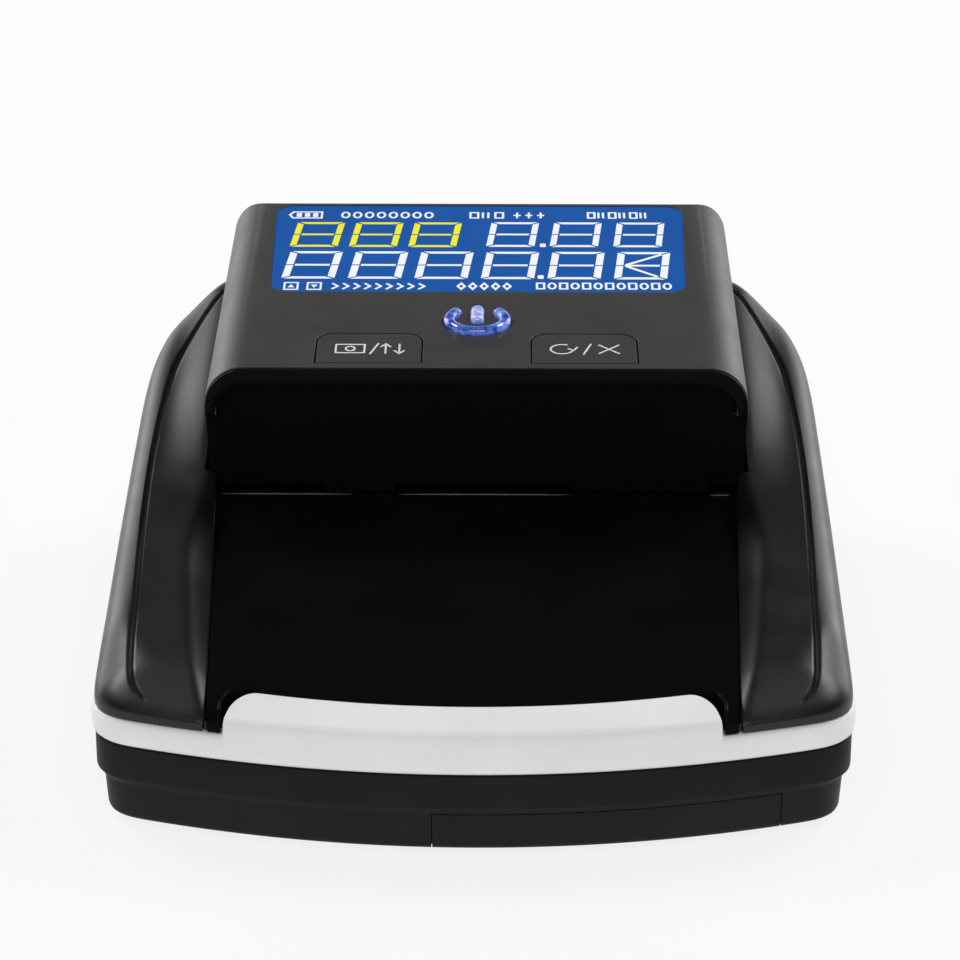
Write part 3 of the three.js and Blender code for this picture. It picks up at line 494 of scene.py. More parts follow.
def spline(points, steps=10):
    """A smooth line through points."""
    points = np.array(points, float)
    padded = np.concatenate([[2 * points[0] - points[1]], points, [2 * points[-1] - points[-2]]])
    out = []
    for a, b, c, d in zip(padded, padded[1:], padded[2:], padded[3:]):
        for t in np.linspace(0, 1, steps, endpoint=False):
            out.append(0.5 * (2 * b + (c - a) * t + (2 * a - 5 * b + 4 * c - d) * t * t
                              + (3 * b - a - 3 * c + d) * t**3))
    out.append(points[-1])
    return np.array(out)


def flank_rows():
    """Start and end in plan of the lines that the flank's surface is drawn on."""
    seam_x = tray_half(-HALF_LENGTH + 6)
    first = place_at_x(seam_x + 0.8)
    last = place_at_y(HALF_LENGTH - 3.2)
    matches = [
        (first, -68.0), (place_at_x(CORNER_START), -58.0), (place_at_y(CORNER_END), -43.0),
        (place_at_y(-20), -20.0), (place_at_y(45), 45.0), (last, 71.6),
    ]
    places = list(np.arange(first, last, FLANK_STEP)) + [last]
    places += [place_at_y(FLANK_STEP_Y + e) for e in (-0.25, -0.1, 0.1, 0.25)]
    rows = []
    for place in sorted(places):
        y = float(np.interp(place, [m[0] for m in matches], [m[1] for m in matches]))
        outer = edge_point(place, COVER_INSET)
        x = tray_half(y) if y < FLANK_STEP_Y else BAY_HALF
        rows.append((np.array(outer), np.array((x, y))))
    return rows


def flank_surface(points, rounds, groove):
    """Height of the flank over points in plan; rounds holds the radius of the outer edge at each."""
    x, y = points.T
    crown = crown_height(x, y) + FRONT_SWELL * smooth_step(-y, 30, 58)
    floor = path_height(y)
    ramp_start = tray_half(y) - REAR_RAMP_SHIFT * smooth_step(y, -34, 66)
    run = RAMP_RUN * np.maximum(crown - floor, 0) + RAMP_LEAST
    rise = np.sin(np.clip((x - ramp_start) / run, 0, 1) * math.pi / 2)
    height = floor + (crown - floor) * rise
    edge = np.clip(distance_to(OUTLINE, points) - COVER_INSET, 0, None)
    reach = rounds + (FRONT_REACH - rounds) * smooth_step(-y, 44, 66)
    inside = np.clip(1 - edge / reach, 0, 1)
    height -= rounds * (1 - np.sqrt(1 - inside**2))
    if groove is not None:
        line, lengths = groove
        nearest = np.argmin(np.hypot(x[:, None] - line[:, 0], y[:, None] - line[:, 1]), axis=1)
        travelled = lengths[nearest]
        fade = smooth_step(travelled, lengths[GROOVE_TAIL_START], lengths[GROOVE_TAIL_START] + GROOVE_TAIL)
        half = GROOVE_HALF * (0.25 + 0.75 * fade) * (1 + 0.25 * smooth_step(y, 0, 60))
        away = np.clip(distance_to(line, points) / half, 0, 1)
        height -= GROOVE_DEPTH * fade * (1 - away**2) ** 1.5
    return height


def groove_crossing(line, outer, ahead, length):
    """Distance from the outer edge, along one line of the grid, to where it crosses the groove."""
    side = (line - outer) @ np.array((-ahead[1], ahead[0]))
    crossings = np.nonzero(side[:-1] * side[1:] <= 0)[0]
    middle = min(4.5, length * 0.5)
    if len(crossings):
        k = crossings[0]
        t = side[k] / (side[k] - side[k + 1])
        middle = float((line[k] + t * (line[k + 1] - line[k]) - outer) @ ahead)
    return min(max(middle, 1.2), length - 0.6)


def flank_steps(middle, length):
    """Distances along one line: close together over the outer round, the groove and the tray's edge."""
    half = min(1.1, middle * 0.6, (length - middle) * 0.6)
    angles = np.linspace(0, math.pi / 2, FLANK_ROUND_COLUMNS + 1)[:-1]
    steps = [(middle - half) * (1 - math.cos(a)) for a in angles]
    steps += [middle + half * s for s in (-1, -0.8, -0.6, -0.4, -0.2, 0, 0.2, 0.4, 0.6, 0.8, 1)]
    rest = length - 0.45 - middle - half
    steps += [middle + half + rest * math.sin(math.pi / 2 * k / FLANK_INNER_COLUMNS)
              for k in range(1, FLANK_INNER_COLUMNS + 1)]
    return steps + [length - 0.25, length - 0.08, length]


def flank_grid(with_groove):
    """The flank's surface as rows of points, from the band up over the edge and down to the tray."""
    line = spline(GROOVE_POINTS)
    lengths = np.concatenate([[0], np.cumsum(np.hypot(*np.diff(line, axis=0).T))])
    groove = (line, lengths) if with_groove else None
    grid = []
    for outer, inner in flank_rows():
        length = float(np.hypot(*(inner - outer)))
        ahead = (inner - outer) / length
        steps = flank_steps(groove_crossing(line, outer, ahead, length), length)
        plan = outer + np.outer(steps, ahead)
        radius = min(COVER_ROUND, float(crown_height(*outer)) - COVER_BASE)
        top = flank_surface(plan, np.full(len(plan), radius), groove)
        top[-3:] -= (0.03, 0.12, 0.4)
        row = [(plan[0][0], plan[0][1], z) for z in np.linspace(COVER_BASE, top[0], 4)[:-1]]
        row += [(p[0], p[1], z) for p, z in zip(plan, top)]
        low = float(path_height(inner[1])) - 2.6 if inner[1] > -60 else COVER_BASE
        row += [(inner[0], inner[1], top[-1] + (low - top[-1]) * s) for s in (0.5, 1.0)]
        grid.append(row)
    return np.array(grid)


def inner_layer(grid, thickness):
    """The grid moved inwards by its own normals, with its bottom edges kept level."""
    along = np.gradient(grid, axis=0)
    across = np.gradient(grid, axis=1)
    normal = np.cross(along, across)
    normal /= np.maximum(np.linalg.norm(normal, axis=2), 1e-9)[:, :, None]
    if normal[len(grid) // 2, grid.shape[1] // 2, 2] > 0:
        normal = -normal
    spans = np.hypot(*(grid[:, -1, :2] - grid[:, 0, :2]).T)
    depth = np.minimum(thickness, 0.3 * spans)[:, None, None]
    moved = grid + normal * depth
    moved[:, 0, 2] = grid[:, 0, 2]
    moved[:, -1, 2] = grid[:, -1, 2]
    return moved


def mirrored(grid):
    return grid * np.array((-1.0, 1.0, 1.0))


def rear_sill():
    """The low wall under the note exit, between the two flanks."""
    rear_x, rear_y = OUTLINE[OUTLINE[:, 1] > REAR_START][::-1].T
    rows = []
    for x in np.linspace(-BAY_HALF - 0.6, BAY_HALF + 0.6, 61):
        back = float(np.interp(abs(x), rear_x, rear_y)) - COVER_INSET
        profile = [
            (back, COVER_BASE), (back, EXIT_Z - 0.9), (back - 0.12, EXIT_Z - 0.45),
            (back - 0.45, EXIT_Z - 0.12), (back - 0.9, EXIT_Z), (BAY_REAR + 0.6, EXIT_Z),
            (BAY_REAR + 0.3, EXIT_Z - 0.08), (BAY_REAR + 0.08, EXIT_Z - 0.3), (BAY_REAR, EXIT_Z - 0.6),
            (BAY_REAR, COVER_BASE),
        ]
        rows.append([(x, y, z) for y, z in profile])
    return skin("rear_sill", rows)


def cover_shell():
    face = flank_grid(True)
    back = inner_layer(flank_grid(False), SHELL)
    parts = [
        shell("flank", face, back, 40.0),
        shell("flank", mirrored(face), mirrored(back), 40.0),
        rear_sill(),
    ]
    return join("cover_shell", parts)


# ---------- the trim band and the case ----------


def band_section(depth):
    """The band's section as inset and height; with a depth it has the raised lip, as many points."""
    foot = [(BAND_DEPTH, BAND_BOTTOM), (0.6, BAND_BOTTOM), (0.15, 16.25), (0.0, 17.2), (0.0, 18.2)]
    if depth is None:
        edge = [(0.05, 19.2), (0.25, 19.85), (0.6, 20.2)]
        level = [(1.0 + 0.22 * k, BAND_TOP) for k in range(9)]
        return foot + edge + level + [(BAND_DEPTH, BAND_TOP - 0.1), (BAND_DEPTH, 18.4)]
    face = [(0.03, 19.3), (0.1, 20.6)]
    bend = [(d, lip_height(d)) for d in (0.2, 0.45, 0.8, 1.2, LIP_BEND, 2.2)]
    top = lip_height(depth)
    rest = [(depth - 0.9, lip_height(depth - 0.9)), (depth - 0.3, top - 0.05), (depth - 0.08, top - 0.18)]
    return foot + face + bend + rest + [(depth, top - 0.45), (depth, 20.9), (BAND_DEPTH - 0.01, 19.0)]


def band_places():
    """Places round the right half of the band, with the lip's depth where it has one."""
    shoulder = LIP_HALF - LIP_CORNER
    lip = list(np.linspace(0, shoulder, 22)[:-1])
    lip += lip_corner_places(shoulder, 8, 90) + [LIP_HALF - 0.02]
    rows = [(place_at_x(x), lip_depth(x), 0.0) for x in lip]
    start = place_at_x(LIP_HALF)
    for share in (0, 0.12, 0.3, 0.55, 1.0):
        rise = 0.8 * (1 - math.sqrt(1 - (1 - share) ** 2))
        rows.append((start + 0.02 + 0.8 * share, None, rise))
    rows += [(place, None, 0.0) for place in np.arange(start + 2.0, ARC[-1] - 0.6, 1.1)]
    return rows + [(ARC[-1], None, 0.0)]


def trim_ring():
    right = []
    for place, depth, rise in band_places():
        section = band_section(depth)
        row = []
        for inset, z in section:
            x, y = edge_point(place, inset)
            lift = rise if z > BAND_TOP - 0.2 else 0.0
            row.append((x, y, z + lift))
        right.append(row)
    left = [[(-x, y, z) for x, y, z in row] for row in reversed(right[1:-1])]
    return skin("trim_ring", right + left, closed=True, smooth=48.0)


def level(inset, height):
    """The whole outline at a height, moved inwards."""
    right = [edge_point(place, inset) for place in np.linspace(0, ARC[-1], 181)]
    left = [(-x, y) for x, y in reversed(right[1:-1])]
    return [(x, y, height) for x, y in right + left]


def stacked(name, profile, sink=0.0, smooth=35.0):
    """A solid with the whole outline at each inset and height of a profile, sunk in by a little."""
    return skin(name, [level(inset + sink, z + sink) for inset, z in profile], smooth=smooth)


def case_solid(name, sink=0.0):
    profile = [
        (3.3, CASE_BOTTOM), (2.75, CASE_BOTTOM + 0.12), (2.35, CASE_BOTTOM + 0.45),
        (2.12, CASE_BOTTOM + 1.0), (1.75, CASE_STEP - 0.35), (1.66, CASE_STEP), (1.45, CASE_STEP + 0.25),
        (0.75, CASE_STEP + 1.0), (0.55, CASE_STEP + 1.25), (0.5, CASE_STEP + 1.6), (0.5, 14.9),
        (0.62, 15.35), (0.9, 15.5),
    ]
    return stacked(name, profile, sink, 50.0)


def case_hollow(name):
    profile = [(4.4, CASE_BOTTOM + 2), (3.8, CASE_STEP), (2.6, CASE_STEP + 1.4), (2.5, BAND_BOTTOM + 1)]
    return stacked(name, profile)


def seam_core():
    """The inside of the case, less the thin strips that stand behind the door's seams."""
    profile = [(5.2, CASE_BOTTOM + 2.6), (4.6, CASE_STEP), (3.4, CASE_STEP + 1.4), (3.4, BAND_BOTTOM + 2)]
    return stacked("core", profile)


def corners(item):
    return [(-item["x"], item["front"]), (item["x"], item["front"]), (-item["x"], item["rear"]),
            (item["x"], item["rear"])]


def door_space(grow):
    """The room that the door takes up, with a gap round it."""
    return block("space", DOOR["left"] - grow, DOOR["right"] + grow, -FAR, DOOR["rear"] + grow, -1,
                 DOOR["top"] + grow)


def seam_filler():
    """Closes the door's seams a little below their surface, so that nothing shows through them."""
    filler = case_solid("filler", SEAM_DEPTH)
    combine(filler, [door_space(1.0)], "INTERSECT")
    return combine(filler, [door_space(0.02), case_hollow("inside")])


def post(name, bore, radius, top, place):
    """A hollow post that stands on the floor of the case."""
    low = 3.0
    return lathe(name, [(bore, low), (radius, low), (radius, top), (bore, top)], (*place, 0), axis="Z")


def door_frame():
    """Bars along the door's edges, to cut out the strips that stand behind its seams."""
    left, right, rear, top = DOOR["left"], DOOR["right"], DOOR["rear"], DOOR["top"]
    beyond, over = 2.0, 1.5
    bars = [
        block("bar", left - beyond, left + over, -FAR, rear + beyond, 0, top + beyond),
        block("bar", left - beyond, right + beyond, -FAR, rear + beyond, top - over, top + beyond),
        block("bar", left - beyond, right + beyond, rear - over, rear + beyond, 0, 6),
        block("bar", right - over, right + beyond, -FAR, rear + beyond, 0, top + beyond),
    ]
    return combine(bars[0], bars[1:], "UNION")


def case_shell():
    case = case_solid("case_shell")
    cutters = [case_hollow("hollow"), door_space(SEAM)]
    for hole in (JACK, PORT):
        outline = rounded_box(hole["x"], hole["z"], hole["half"], hole["rise"], 1.0)
        cutters.append(prism("hole", outline, CASE_WALL_Y, FAR, FRONT))
    cutters += [rod("foot", FOOT["radius"] + GAP, 0, FOOT["height"] + GAP, place) for place in corners(FOOT)]
    cutters += [rod("screw", 3.0, 0, 3.0, place) for place in corners(SCREW)]
    for k in range(-3, 4):
        across = SPEAKER["pitch"] * k
        length = math.sqrt(SPEAKER["radius"] ** 2 - across**2) - 1.2
        slot = rounded_box(SPEAKER["x"], SPEAKER["y"] + across, length, 0.55, 0.5)
        cutters.append(prism("slot", slot, 0, 4))
    combine(case, cutters)
    backing = combine(case_hollow("backing"), [seam_core()])
    combine(backing, [door_frame()], "INTERSECT")
    posts = [post("post", 1.7, 3.5, 12.0, place) for place in corners(SCREW)]
    stands = [post("stand", 1.0, 2.5, 7.7, (x, y)) for x in (-42, 42) for y in (-33, 11)]
    return soften(join("case_shell", [case, backing, seam_filler()] + posts + stands), 0.15)


def rounded_box(x, y, half_x, half_y, radius, steps=6):
    """A rectangle with rounded corners, about a centre."""
    radius = min(radius, half_x - 0.01, half_y - 0.01)
    points = []
    for sx, sy, start in ((1, 1, 0), (-1, 1, 90), (-1, -1, 180), (1, -1, 270)):
        centre = (x + sx * (half_x - radius), y + sy * (half_y - radius))
        points += arc(centre, radius, start, start + 90, steps)
    return points


def door_plate():
    door = case_solid("door_plate")
    combine(door, [case_hollow("hollow")])
    combine(door, [door_space(0)], "INTERSECT")
    ribs = [prism("rib", rounded_box(21.75, -62 + 1.8 * k, 7.0, 0.45, 0.4), 1.25, 1.6) for k in range(6)]
    return soften(join("door_plate", [door] + ribs), 0.18)


# ---------- the note path ----------


TRAY_LIP_EDGE = 0.25  # radius of the floor's edge behind the lip
TRAY_FRONT_EDGE = 2.7  # and beside the lip, where it comes down to the band
FRONT_ROWS = 3  # rows between that edge and the first station


def tray_columns():
    """Where the tray's lines start at the front: x, y and the radius of the edge there."""
    grow = GAP
    half = LIP_HALF + grow
    shoulder = half - LIP_CORNER
    xs = list(np.linspace(0, shoulder, 13)[:-1])
    xs += lip_corner_places(shoulder, 9)
    columns = [(x, front_y(x) + lip_depth(x, grow), TRAY_LIP_EDGE) for x in xs]
    seam = tray_half(-HALF_LENGTH + 6) - 0.1
    for x in np.linspace(half + 0.12, seam, 6):
        front = edge_point(place_at_x(x), COVER_INSET)[1]
        columns.append((x, front, TRAY_FRONT_EDGE))
    return columns


def tray_rows(columns):
    """Each line across the floor, as a list of y and of drop below the note path for its columns."""
    near = [1 - math.cos(math.radians(a)) for a in range(0, 91, 10)]
    rows = []
    for share in near:
        rows.append([(y + r * share, round_drop(r, r * share)) for _, y, r in columns])
    for k in range(1, FRONT_ROWS + 1):
        rows.append([(y + r + (CORNER_END - y - r) * k / FRONT_ROWS, 0.0) for _, y, r in columns])
    stations = [-52, -40, -28, -16, BAY_FRONT, FLANK_STEP_Y - 0.1, FLANK_STEP_Y + 0.1, SLOT_Y, SLOT_Y + 0.6,
                12, 24, 36, 48, 60, BAY_REAR - GAP]
    return rows + [[(y, 0.0)] * len(columns) for y in stations]


def tray_surfaces():
    """The floor's upper and lower side; the first row runs down at the front to the band."""
    right = tray_columns()
    columns = [(-x, y, r) for x, y, r in reversed(right[1:])] + right
    front_half = columns[-1][0]
    rows = tray_rows(columns)
    top = []
    bottom = []
    for i, row in enumerate([rows[0]] + rows):
        upper = []
        lower = []
        for (x, _, _), (y, drop) in zip(columns, row):
            side = BAY_HALF - GAP if y > FLANK_STEP_Y else float(tray_half(y)) - 0.1
            spread = 1 + max(0.0, abs(x) - 34) / (front_half - 34) * (side / front_half - 1)
            path = float(path_height(y))
            low = COVER_BASE if y < -55 else path - TRAY_THICK
            upper.append((x * spread, y, path - drop if i else COVER_BASE + 0.02))
            lower.append((x * spread, y + (0.7 if i else 0.6), low))
        top.append(upper)
        bottom.append(lower)
    return top, bottom


def tray_floor():
    floor = shell("tray_floor", *tray_surfaces(), 30.0)
    cutters = [path_opening(MAGNET), path_opening(SENSOR)]
    for y in (FEED_Y, EXIT_Y):
        for x in (-ROLLER_X, ROLLER_X):
            window = rounded_box(x, y, ROLLER["length"] / 2 + 0.6, 6.6, 0.6)
            cutters.append(prism("window", window, 24, FAR))
    combine(floor, cutters)
    return soften(join("tray_floor", [floor] + lip_beads() + tray_ears()), 0.2, angle=50)


def path_opening(item):
    middle = (item["front"] + item["rear"]) / 2
    reach = (item["rear"] - item["front"]) / 2 + GAP
    return prism("opening", rounded_box(0, middle, item["half"] + GAP, reach, 0.4), 24, FAR)


def slot_edge():
    """The thin raised crest of the tray at the slot, broken where the two tabs reach down."""
    parts = []
    for left, right in ((-45.4, -22), (-13.8, 16.5), (41.3, 45.4)):
        path = [(x, SLOT_Y, SLOT_Z + 0.02) for x in np.linspace(left, right, 24)]
        radii = [0.24 * min(1.0, 0.2 + i / 6, 0.2 + (23 - i) / 6) for i in range(24)]
        parts.append(tube("crest", path, radii))
    return join("slot_edge", parts)


def lip_beads():
    """The thin raised edges of the floor round the ends of the trim's lip."""
    grow = GAP + 0.35
    half = LIP_HALF + grow
    shoulder = half - LIP_CORNER
    plan = [(x, front_y(x) + lip_depth(x, grow)) for x in np.linspace(26, shoulder, 12)[:-1]]
    plan += [(x, front_y(x) + lip_depth(x, grow)) for x in lip_corner_places(shoulder, 10)]
    end = edge_point(place_at_x(half), COVER_INSET)[1]
    plan += [(half, y) for y in np.linspace(plan[-1][1] - 0.5, end + 0.25, 8)]
    path = []
    for x, y in plan:
        path.append((x, y, float(path_height(y)) - round_drop(TRAY_FRONT_EDGE, y - end) + 0.05))
    path += [(half, end + 0.15, path[-1][2] - s) for s in (0.6, 1.2)]
    count = len(path)
    radii = [0.34 * min(1.0, 0.15 + i / 9, 0.3 + (count - 1 - i) / 3) for i in range(count)]
    right = tube("bead", path, radii)
    left = tube("bead", [(-x, y, z) for x, y, z in path], radii)
    return [right, left]


def shaft_height(y):
    return float(path_height(y)) + ROLLER_PROUD - ROLLER["radius"]


def idler_height(y):
    return float(path_height(y)) + ROLLER_PROUD + GAP + IDLER["radius"]


def tray_ears():
    """The brackets under the floor that hold the bushes of the driven shafts."""
    ears = []
    half = EAR["half"]
    for y in (FEED_Y, EXIT_Y):
        z = shaft_height(y)
        top = float(path_height(y)) - TRAY_THICK
        for side in (-1, 1):
            outline = [(y - half, top), *arc((y, z), half, 180, 360, 20), (y + half, top)]
            left, right = sorted((side * EAR["inner"], side * EAR["outer"]))
            ear = prism("ear", outline, left, right, SIDE)
            combine(ear, [rod("bore", EAR["bore"], left - 1, right + 1, (y, z), SIDE)])
            ears.append(ear)
    return ears


# ---------- the head ----------


def head_section(half, top, bottom, radius, steps=14):
    """Front view of the head: square at the bottom, rounded along its top edges."""
    right = arc((half - radius, top - radius), radius, 0, 90, steps)
    left = arc((radius - half, top - radius), radius, 90, 180, steps)
    return [(-half, bottom), (half, bottom)] + right + left


def head_top(y):
    return HEAD_FRONT.z + math.tan(HEAD_TILT) * (y - HEAD_FRONT.y)


def head_profile():
    radius = 2.5
    lean = 90 + math.degrees(HEAD_TILT)
    centre_y = HEAD_REAR - radius
    rear = arc((centre_y, head_top(centre_y) - radius / math.cos(HEAD_TILT)), radius, 0, lean, 8)
    return [
        (HEAD_FRONT.y, HEAD_CHIN), (-1.2, HEAD_CHIN), (2.8, HEAD_SKIRT), (HINGE[0] - 4, HEAD_SKIRT),
        (HINGE[0] - 1, HEAD_SKIRT + 2), (HEAD_REAR, HEAD_SKIRT + 2), *rear,
        (HEAD_REAR - 3, FAR), (HEAD_FRONT.y, FAR),
    ]


def window_outline(grow):
    middle = (WINDOW["start"] + WINDOW["end"]) / 2
    half = (WINDOW["end"] - WINDOW["start"]) / 2
    outline = rounded_box(0, middle, WINDOW["half"] + grow, half + grow, WINDOW["round"] + grow, 10)
    return [(x * (1 + WINDOW["flare"] * (y - WINDOW["start"])), y) for x, y in outline]


def key_outline(side, grow):
    """A key's face: square in front and rounded at the back."""
    left, right = KEY["inner"] - grow, KEY["outer"] + grow
    radius = KEY["round"] + grow
    back = KEY["end"] + grow
    points = [(left, KEY["start"] - grow), (right, KEY["start"] - grow)]
    points += arc((right - radius, back - radius), radius, 0, 90, 8)
    points += arc((left + radius, back - radius), radius, 90, 180, 8)
    return points if side > 0 else [(-x, y) for x, y in reversed(points)]


def power_ring():
    """Middle radius and half-width of the power key's ring, and the angles where its line ends."""
    middle = (POWER["outer"] + POWER["inner"]) / 2
    half = (POWER["outer"] - POWER["inner"]) / 2
    return middle, half, 90 + POWER["opening"], 450 - POWER["opening"]


def power_outline(grow):
    """The open ring of the power key, with round ends."""
    middle, half, start, end = power_ring()
    half += grow
    centre = (0, POWER["centre"])
    tips = arc(centre, middle, end, start, 1)
    points = arc(centre, middle + half, start, end, 36)
    points += arc(tips[0], half, end, end + 180, 8)[1:-1]
    points += arc(centre, middle - half, end, start, 36)
    return points + arc(tips[1], half, start + 180, start + 360, 8)[1:-1]


def bar_outline(grow):
    half = POWER_BAR["half"] + grow
    low = POWER_BAR["start"] + POWER_BAR["half"]
    high = POWER_BAR["end"] - POWER_BAR["half"]
    return arc((0, low), half, 180, 360, 8) + arc((0, high), half, 0, 180, 8)


def head_shell():
    outer = prism("head_shell", head_section(HEAD_HALF, 0, -60, HEAD_ROUND), -20, FAR, PANEL_FRONT)
    combine(outer, [prism("profile", head_profile(), -FAR, FAR, SIDE)], "INTERSECT")
    inner = head_section(HEAD_HALF - HEAD_WALL, -HEAD_WALL, -70, HEAD_ROUND - HEAD_WALL)
    hollow = prism("hollow", inner, -40, FAR, PANEL_FRONT)
    combine(hollow, [block("room", -FAR, FAR, -FAR, HEAD_REAR - HEAD_WALL, 0, FAR)], "INTERSECT")
    through = [window_outline(-2), power_outline(POWER_GAP), bar_outline(POWER_GAP),
               key_outline(1, KEY_GAP), key_outline(-1, KEY_GAP)]
    cutters = [hollow, prism("window", window_outline(0.1), -1.4, 5, PANEL)]
    cutters += [prism("opening", outline, -5, 5, PANEL) for outline in through]
    cutters.append(rod("hinge", HINGE_PIN + 0.15, -FAR, FAR, HINGE, SIDE))
    return soften(combine(outer, cutters), 0.12, 3)


def fascia():
    """The gloss front: a thin arch under the cover's edge, and the face that leans back to the slot."""
    back = HEAD_FRONT.y - GAP
    front = back - 0.8
    half = HEAD_HALF - 0.1
    low = HEAD_CHIN + GAP
    top = HEAD_FRONT.z
    arch = prism("head_front", head_section(half, top - 0.15, low, HEAD_ROUND), front, back, FRONT)
    inside = head_section(half - ARCH_LEG, top - ARCH_TOP, low - 9, HEAD_ROUND - 1.6)
    combine(arch, [prism("inside", inside, -FAR, FAR, FRONT)])
    bake(soften(arch, 0.32, 4))
    face_top = top - 2.3
    edge = SLOT_Z + 2.1
    side = [(back + 0.05, face_top), (front + 0.2, face_top), (SLOT_Y, edge), (SLOT_Y + 1.9, edge + 0.6),
            (back + 2, face_top)]
    narrow = prism("narrow", side, -half, half, SIDE)
    inner = head_section(HEAD_HALF - HEAD_WALL - GAP, top - HEAD_WALL - GAP, 20, HEAD_ROUND - HEAD_WALL)
    combine(narrow, [prism("inside", inner, -FAR, FAR, FRONT)], "INTERSECT")
    wide = prism("wide", side, -half, half, SIDE)
    combine(wide, [block("below", -FAR, FAR, -FAR, FAR, 0, HEAD_CHIN - GAP)], "INTERSECT")
    tabs = [block("tab", left, right, SLOT_Y + 0.1, SLOT_Y + 1.6, SLOT_Z + 0.6, edge + 0.4)
            for left, right in ((-22, -14.5), (16.7, 41))]
    combine(arch, [narrow, wide] + tabs, "UNION")
    return soften(arch, 0.15, 2, 60.0)


def key_cap(side):
    cap = prism("key", key_outline(side, 0), -2.4, -0.02, PANEL)
    left, right = sorted((side * (KEY["inner"] - 1), side * (KEY["outer"] + 1)))
    middle = ((left + right) / 2, (KEY["start"] + KEY["end"] + 1) / 2)
    plate = rounded_box(*middle, (right - left) / 2, (KEY["end"] + 1 - KEY["start"]) / 2, 1.0)
    combine(cap, [prism("flange", plate, -3.3, -2.3, PANEL)], "UNION")
    cap.name = "right_key_cap" if side > 0 else "left_key_cap"
    return soften(cap, 0.16, 3)


def power_loop():
    """The power key's ring, with a rounded section and rounded ends."""
    middle, half, start, end = power_ring()
    ring = [Vector((*p, 0.1)) for p in arc((0, POWER["centre"]), middle, start, end, 48)]
    first = (ring[1] - ring[0]).normalized()
    last = (ring[-1] - ring[-2]).normalized()
    shares = [0.94, 0.8, 0.55, 0.2]
    before = [ring[0] - first * half * math.sqrt(1 - e * e) for e in reversed(shares)]
    after = [ring[-1] + last * half * math.sqrt(1 - e * e) for e in shares]
    tips = [half * e for e in shares]
    radii = tips[::-1] + [half] * len(ring) + tips
    return tube("loop", before + ring + after, radii, 20, (POWER["rise"] - 0.12) / half)


def power_bar():
    """The power key's bar, with a rounded section and rounded ends."""
    half = POWER_BAR["half"]
    low, high = POWER_BAR["start"] + half, POWER_BAR["end"] - half
    caps = [(0.25, 0.97), (0.55, 0.84), (0.8, 0.6), (0.97, 0.24)]
    path = [(0, low - half * reach, 0.1) for reach, _ in reversed(caps)]
    path += [(0, place, 0.1) for place in np.linspace(low, high, 6)]
    path += [(0, high + half * reach, 0.1) for reach, _ in caps]
    tips = [half * share for _, share in caps]
    radii = tips[::-1] + [half] * 6 + tips
    return tube("bar", path, radii, 20, (POWER["rise"] - 0.12) / half)


def power_knob():
    """The ring and the bar of the power key; the ring stands on a round plate under the cover."""
    loop = power_loop()
    bar = power_bar()
    plate = [(AXIS, -3.3), (8, -3.3), (8, -2.4), (AXIS, -2.4)]
    base = lathe("base", plate, (0, POWER["centre"], 0), axis="Z")
    stem = prism("stem", power_outline(-0.35), -2.5, 0.1)
    foot = prism("foot", bar_outline(-0.35), -2.5, 0.1)
    knob = join("power_knob", [loop, base, stem, foot])
    bar.name = "power_bar"
    onto_panel = Matrix.Translation(HEAD_FRONT * MM) @ Matrix.Rotation(HEAD_TILT, 4, "X")
    for part in (knob, bar):
        part.data.transform(onto_panel)
    return knob, bar


# ---------- the display ----------

GLASS_TOP = -0.12
PRINT = 0.06  # thickness of the printed marks


def stroke(points, width, closed=False):
    """Left and right edges of a line of the given width."""
    points = np.array(points, float)
    before = np.roll(points, 1, axis=0)
    after = np.roll(points, -1, axis=0)
    if not closed:
        before[0] = 2 * points[0] - points[1]
        after[-1] = 2 * points[-1] - points[-2]
    into = points - before
    out = after - points
    into /= np.hypot(*into.T)[:, None]
    out /= np.hypot(*out.T)[:, None]
    across = np.stack([-(into + out)[:, 1], (into + out)[:, 0]], axis=1)
    across /= np.hypot(*across.T)[:, None]
    cosine = np.clip(np.sum(across * np.stack([-into[:, 1], into[:, 0]], axis=1), axis=1), 0.4, 1)
    offset = across * (width / 2 / cosine)[:, None]
    return points + offset, points - offset


class Marks:
    """Flat marks on the head's sloping top, gathered into one mesh."""

    def __init__(self, low):
        self.low = low
        self.points = []
        self.faces = []

    def polygon(self, outline):
        base = len(self.points)
        count = len(outline)
        for w in (self.low, self.low + PRINT):
            self.points += [(u, v, w) for u, v in outline]
        self.faces.append(tuple(base + i for i in range(count)))
        self.faces.append(tuple(base + count + i for i in range(count)))
        for i in range(count):
            j = (i + 1) % count
            self.faces.append((base + i, base + j, base + count + j, base + count + i))

    def line(self, points, width, closed=False):
        left, right = stroke(points, width, closed)
        if not closed:
            self.polygon([tuple(p) for p in left] + [tuple(p) for p in right[::-1]])
            return
        base = len(self.points)
        count = len(left)
        for w in (self.low, self.low + PRINT):
            self.points += [(u, v, w) for u, v in left] + [(u, v, w) for u, v in right]
        for i in range(count):
            j = (i + 1) % count
            low = (base + i, base + j, base + count + j, base + count + i)
            lift = 2 * count
            self.faces.append(low)
            self.faces.append(tuple(v + lift for v in low))
            self.faces.append((low[0], low[1], low[1] + lift, low[0] + lift))
            self.faces.append((low[3], low[2], low[2] + lift, low[3] + lift))

    def build(self, name):
        return new_object(name, placed(self.points, PANEL), self.faces, 20.0)


DIGIT_SLANT = 0.086


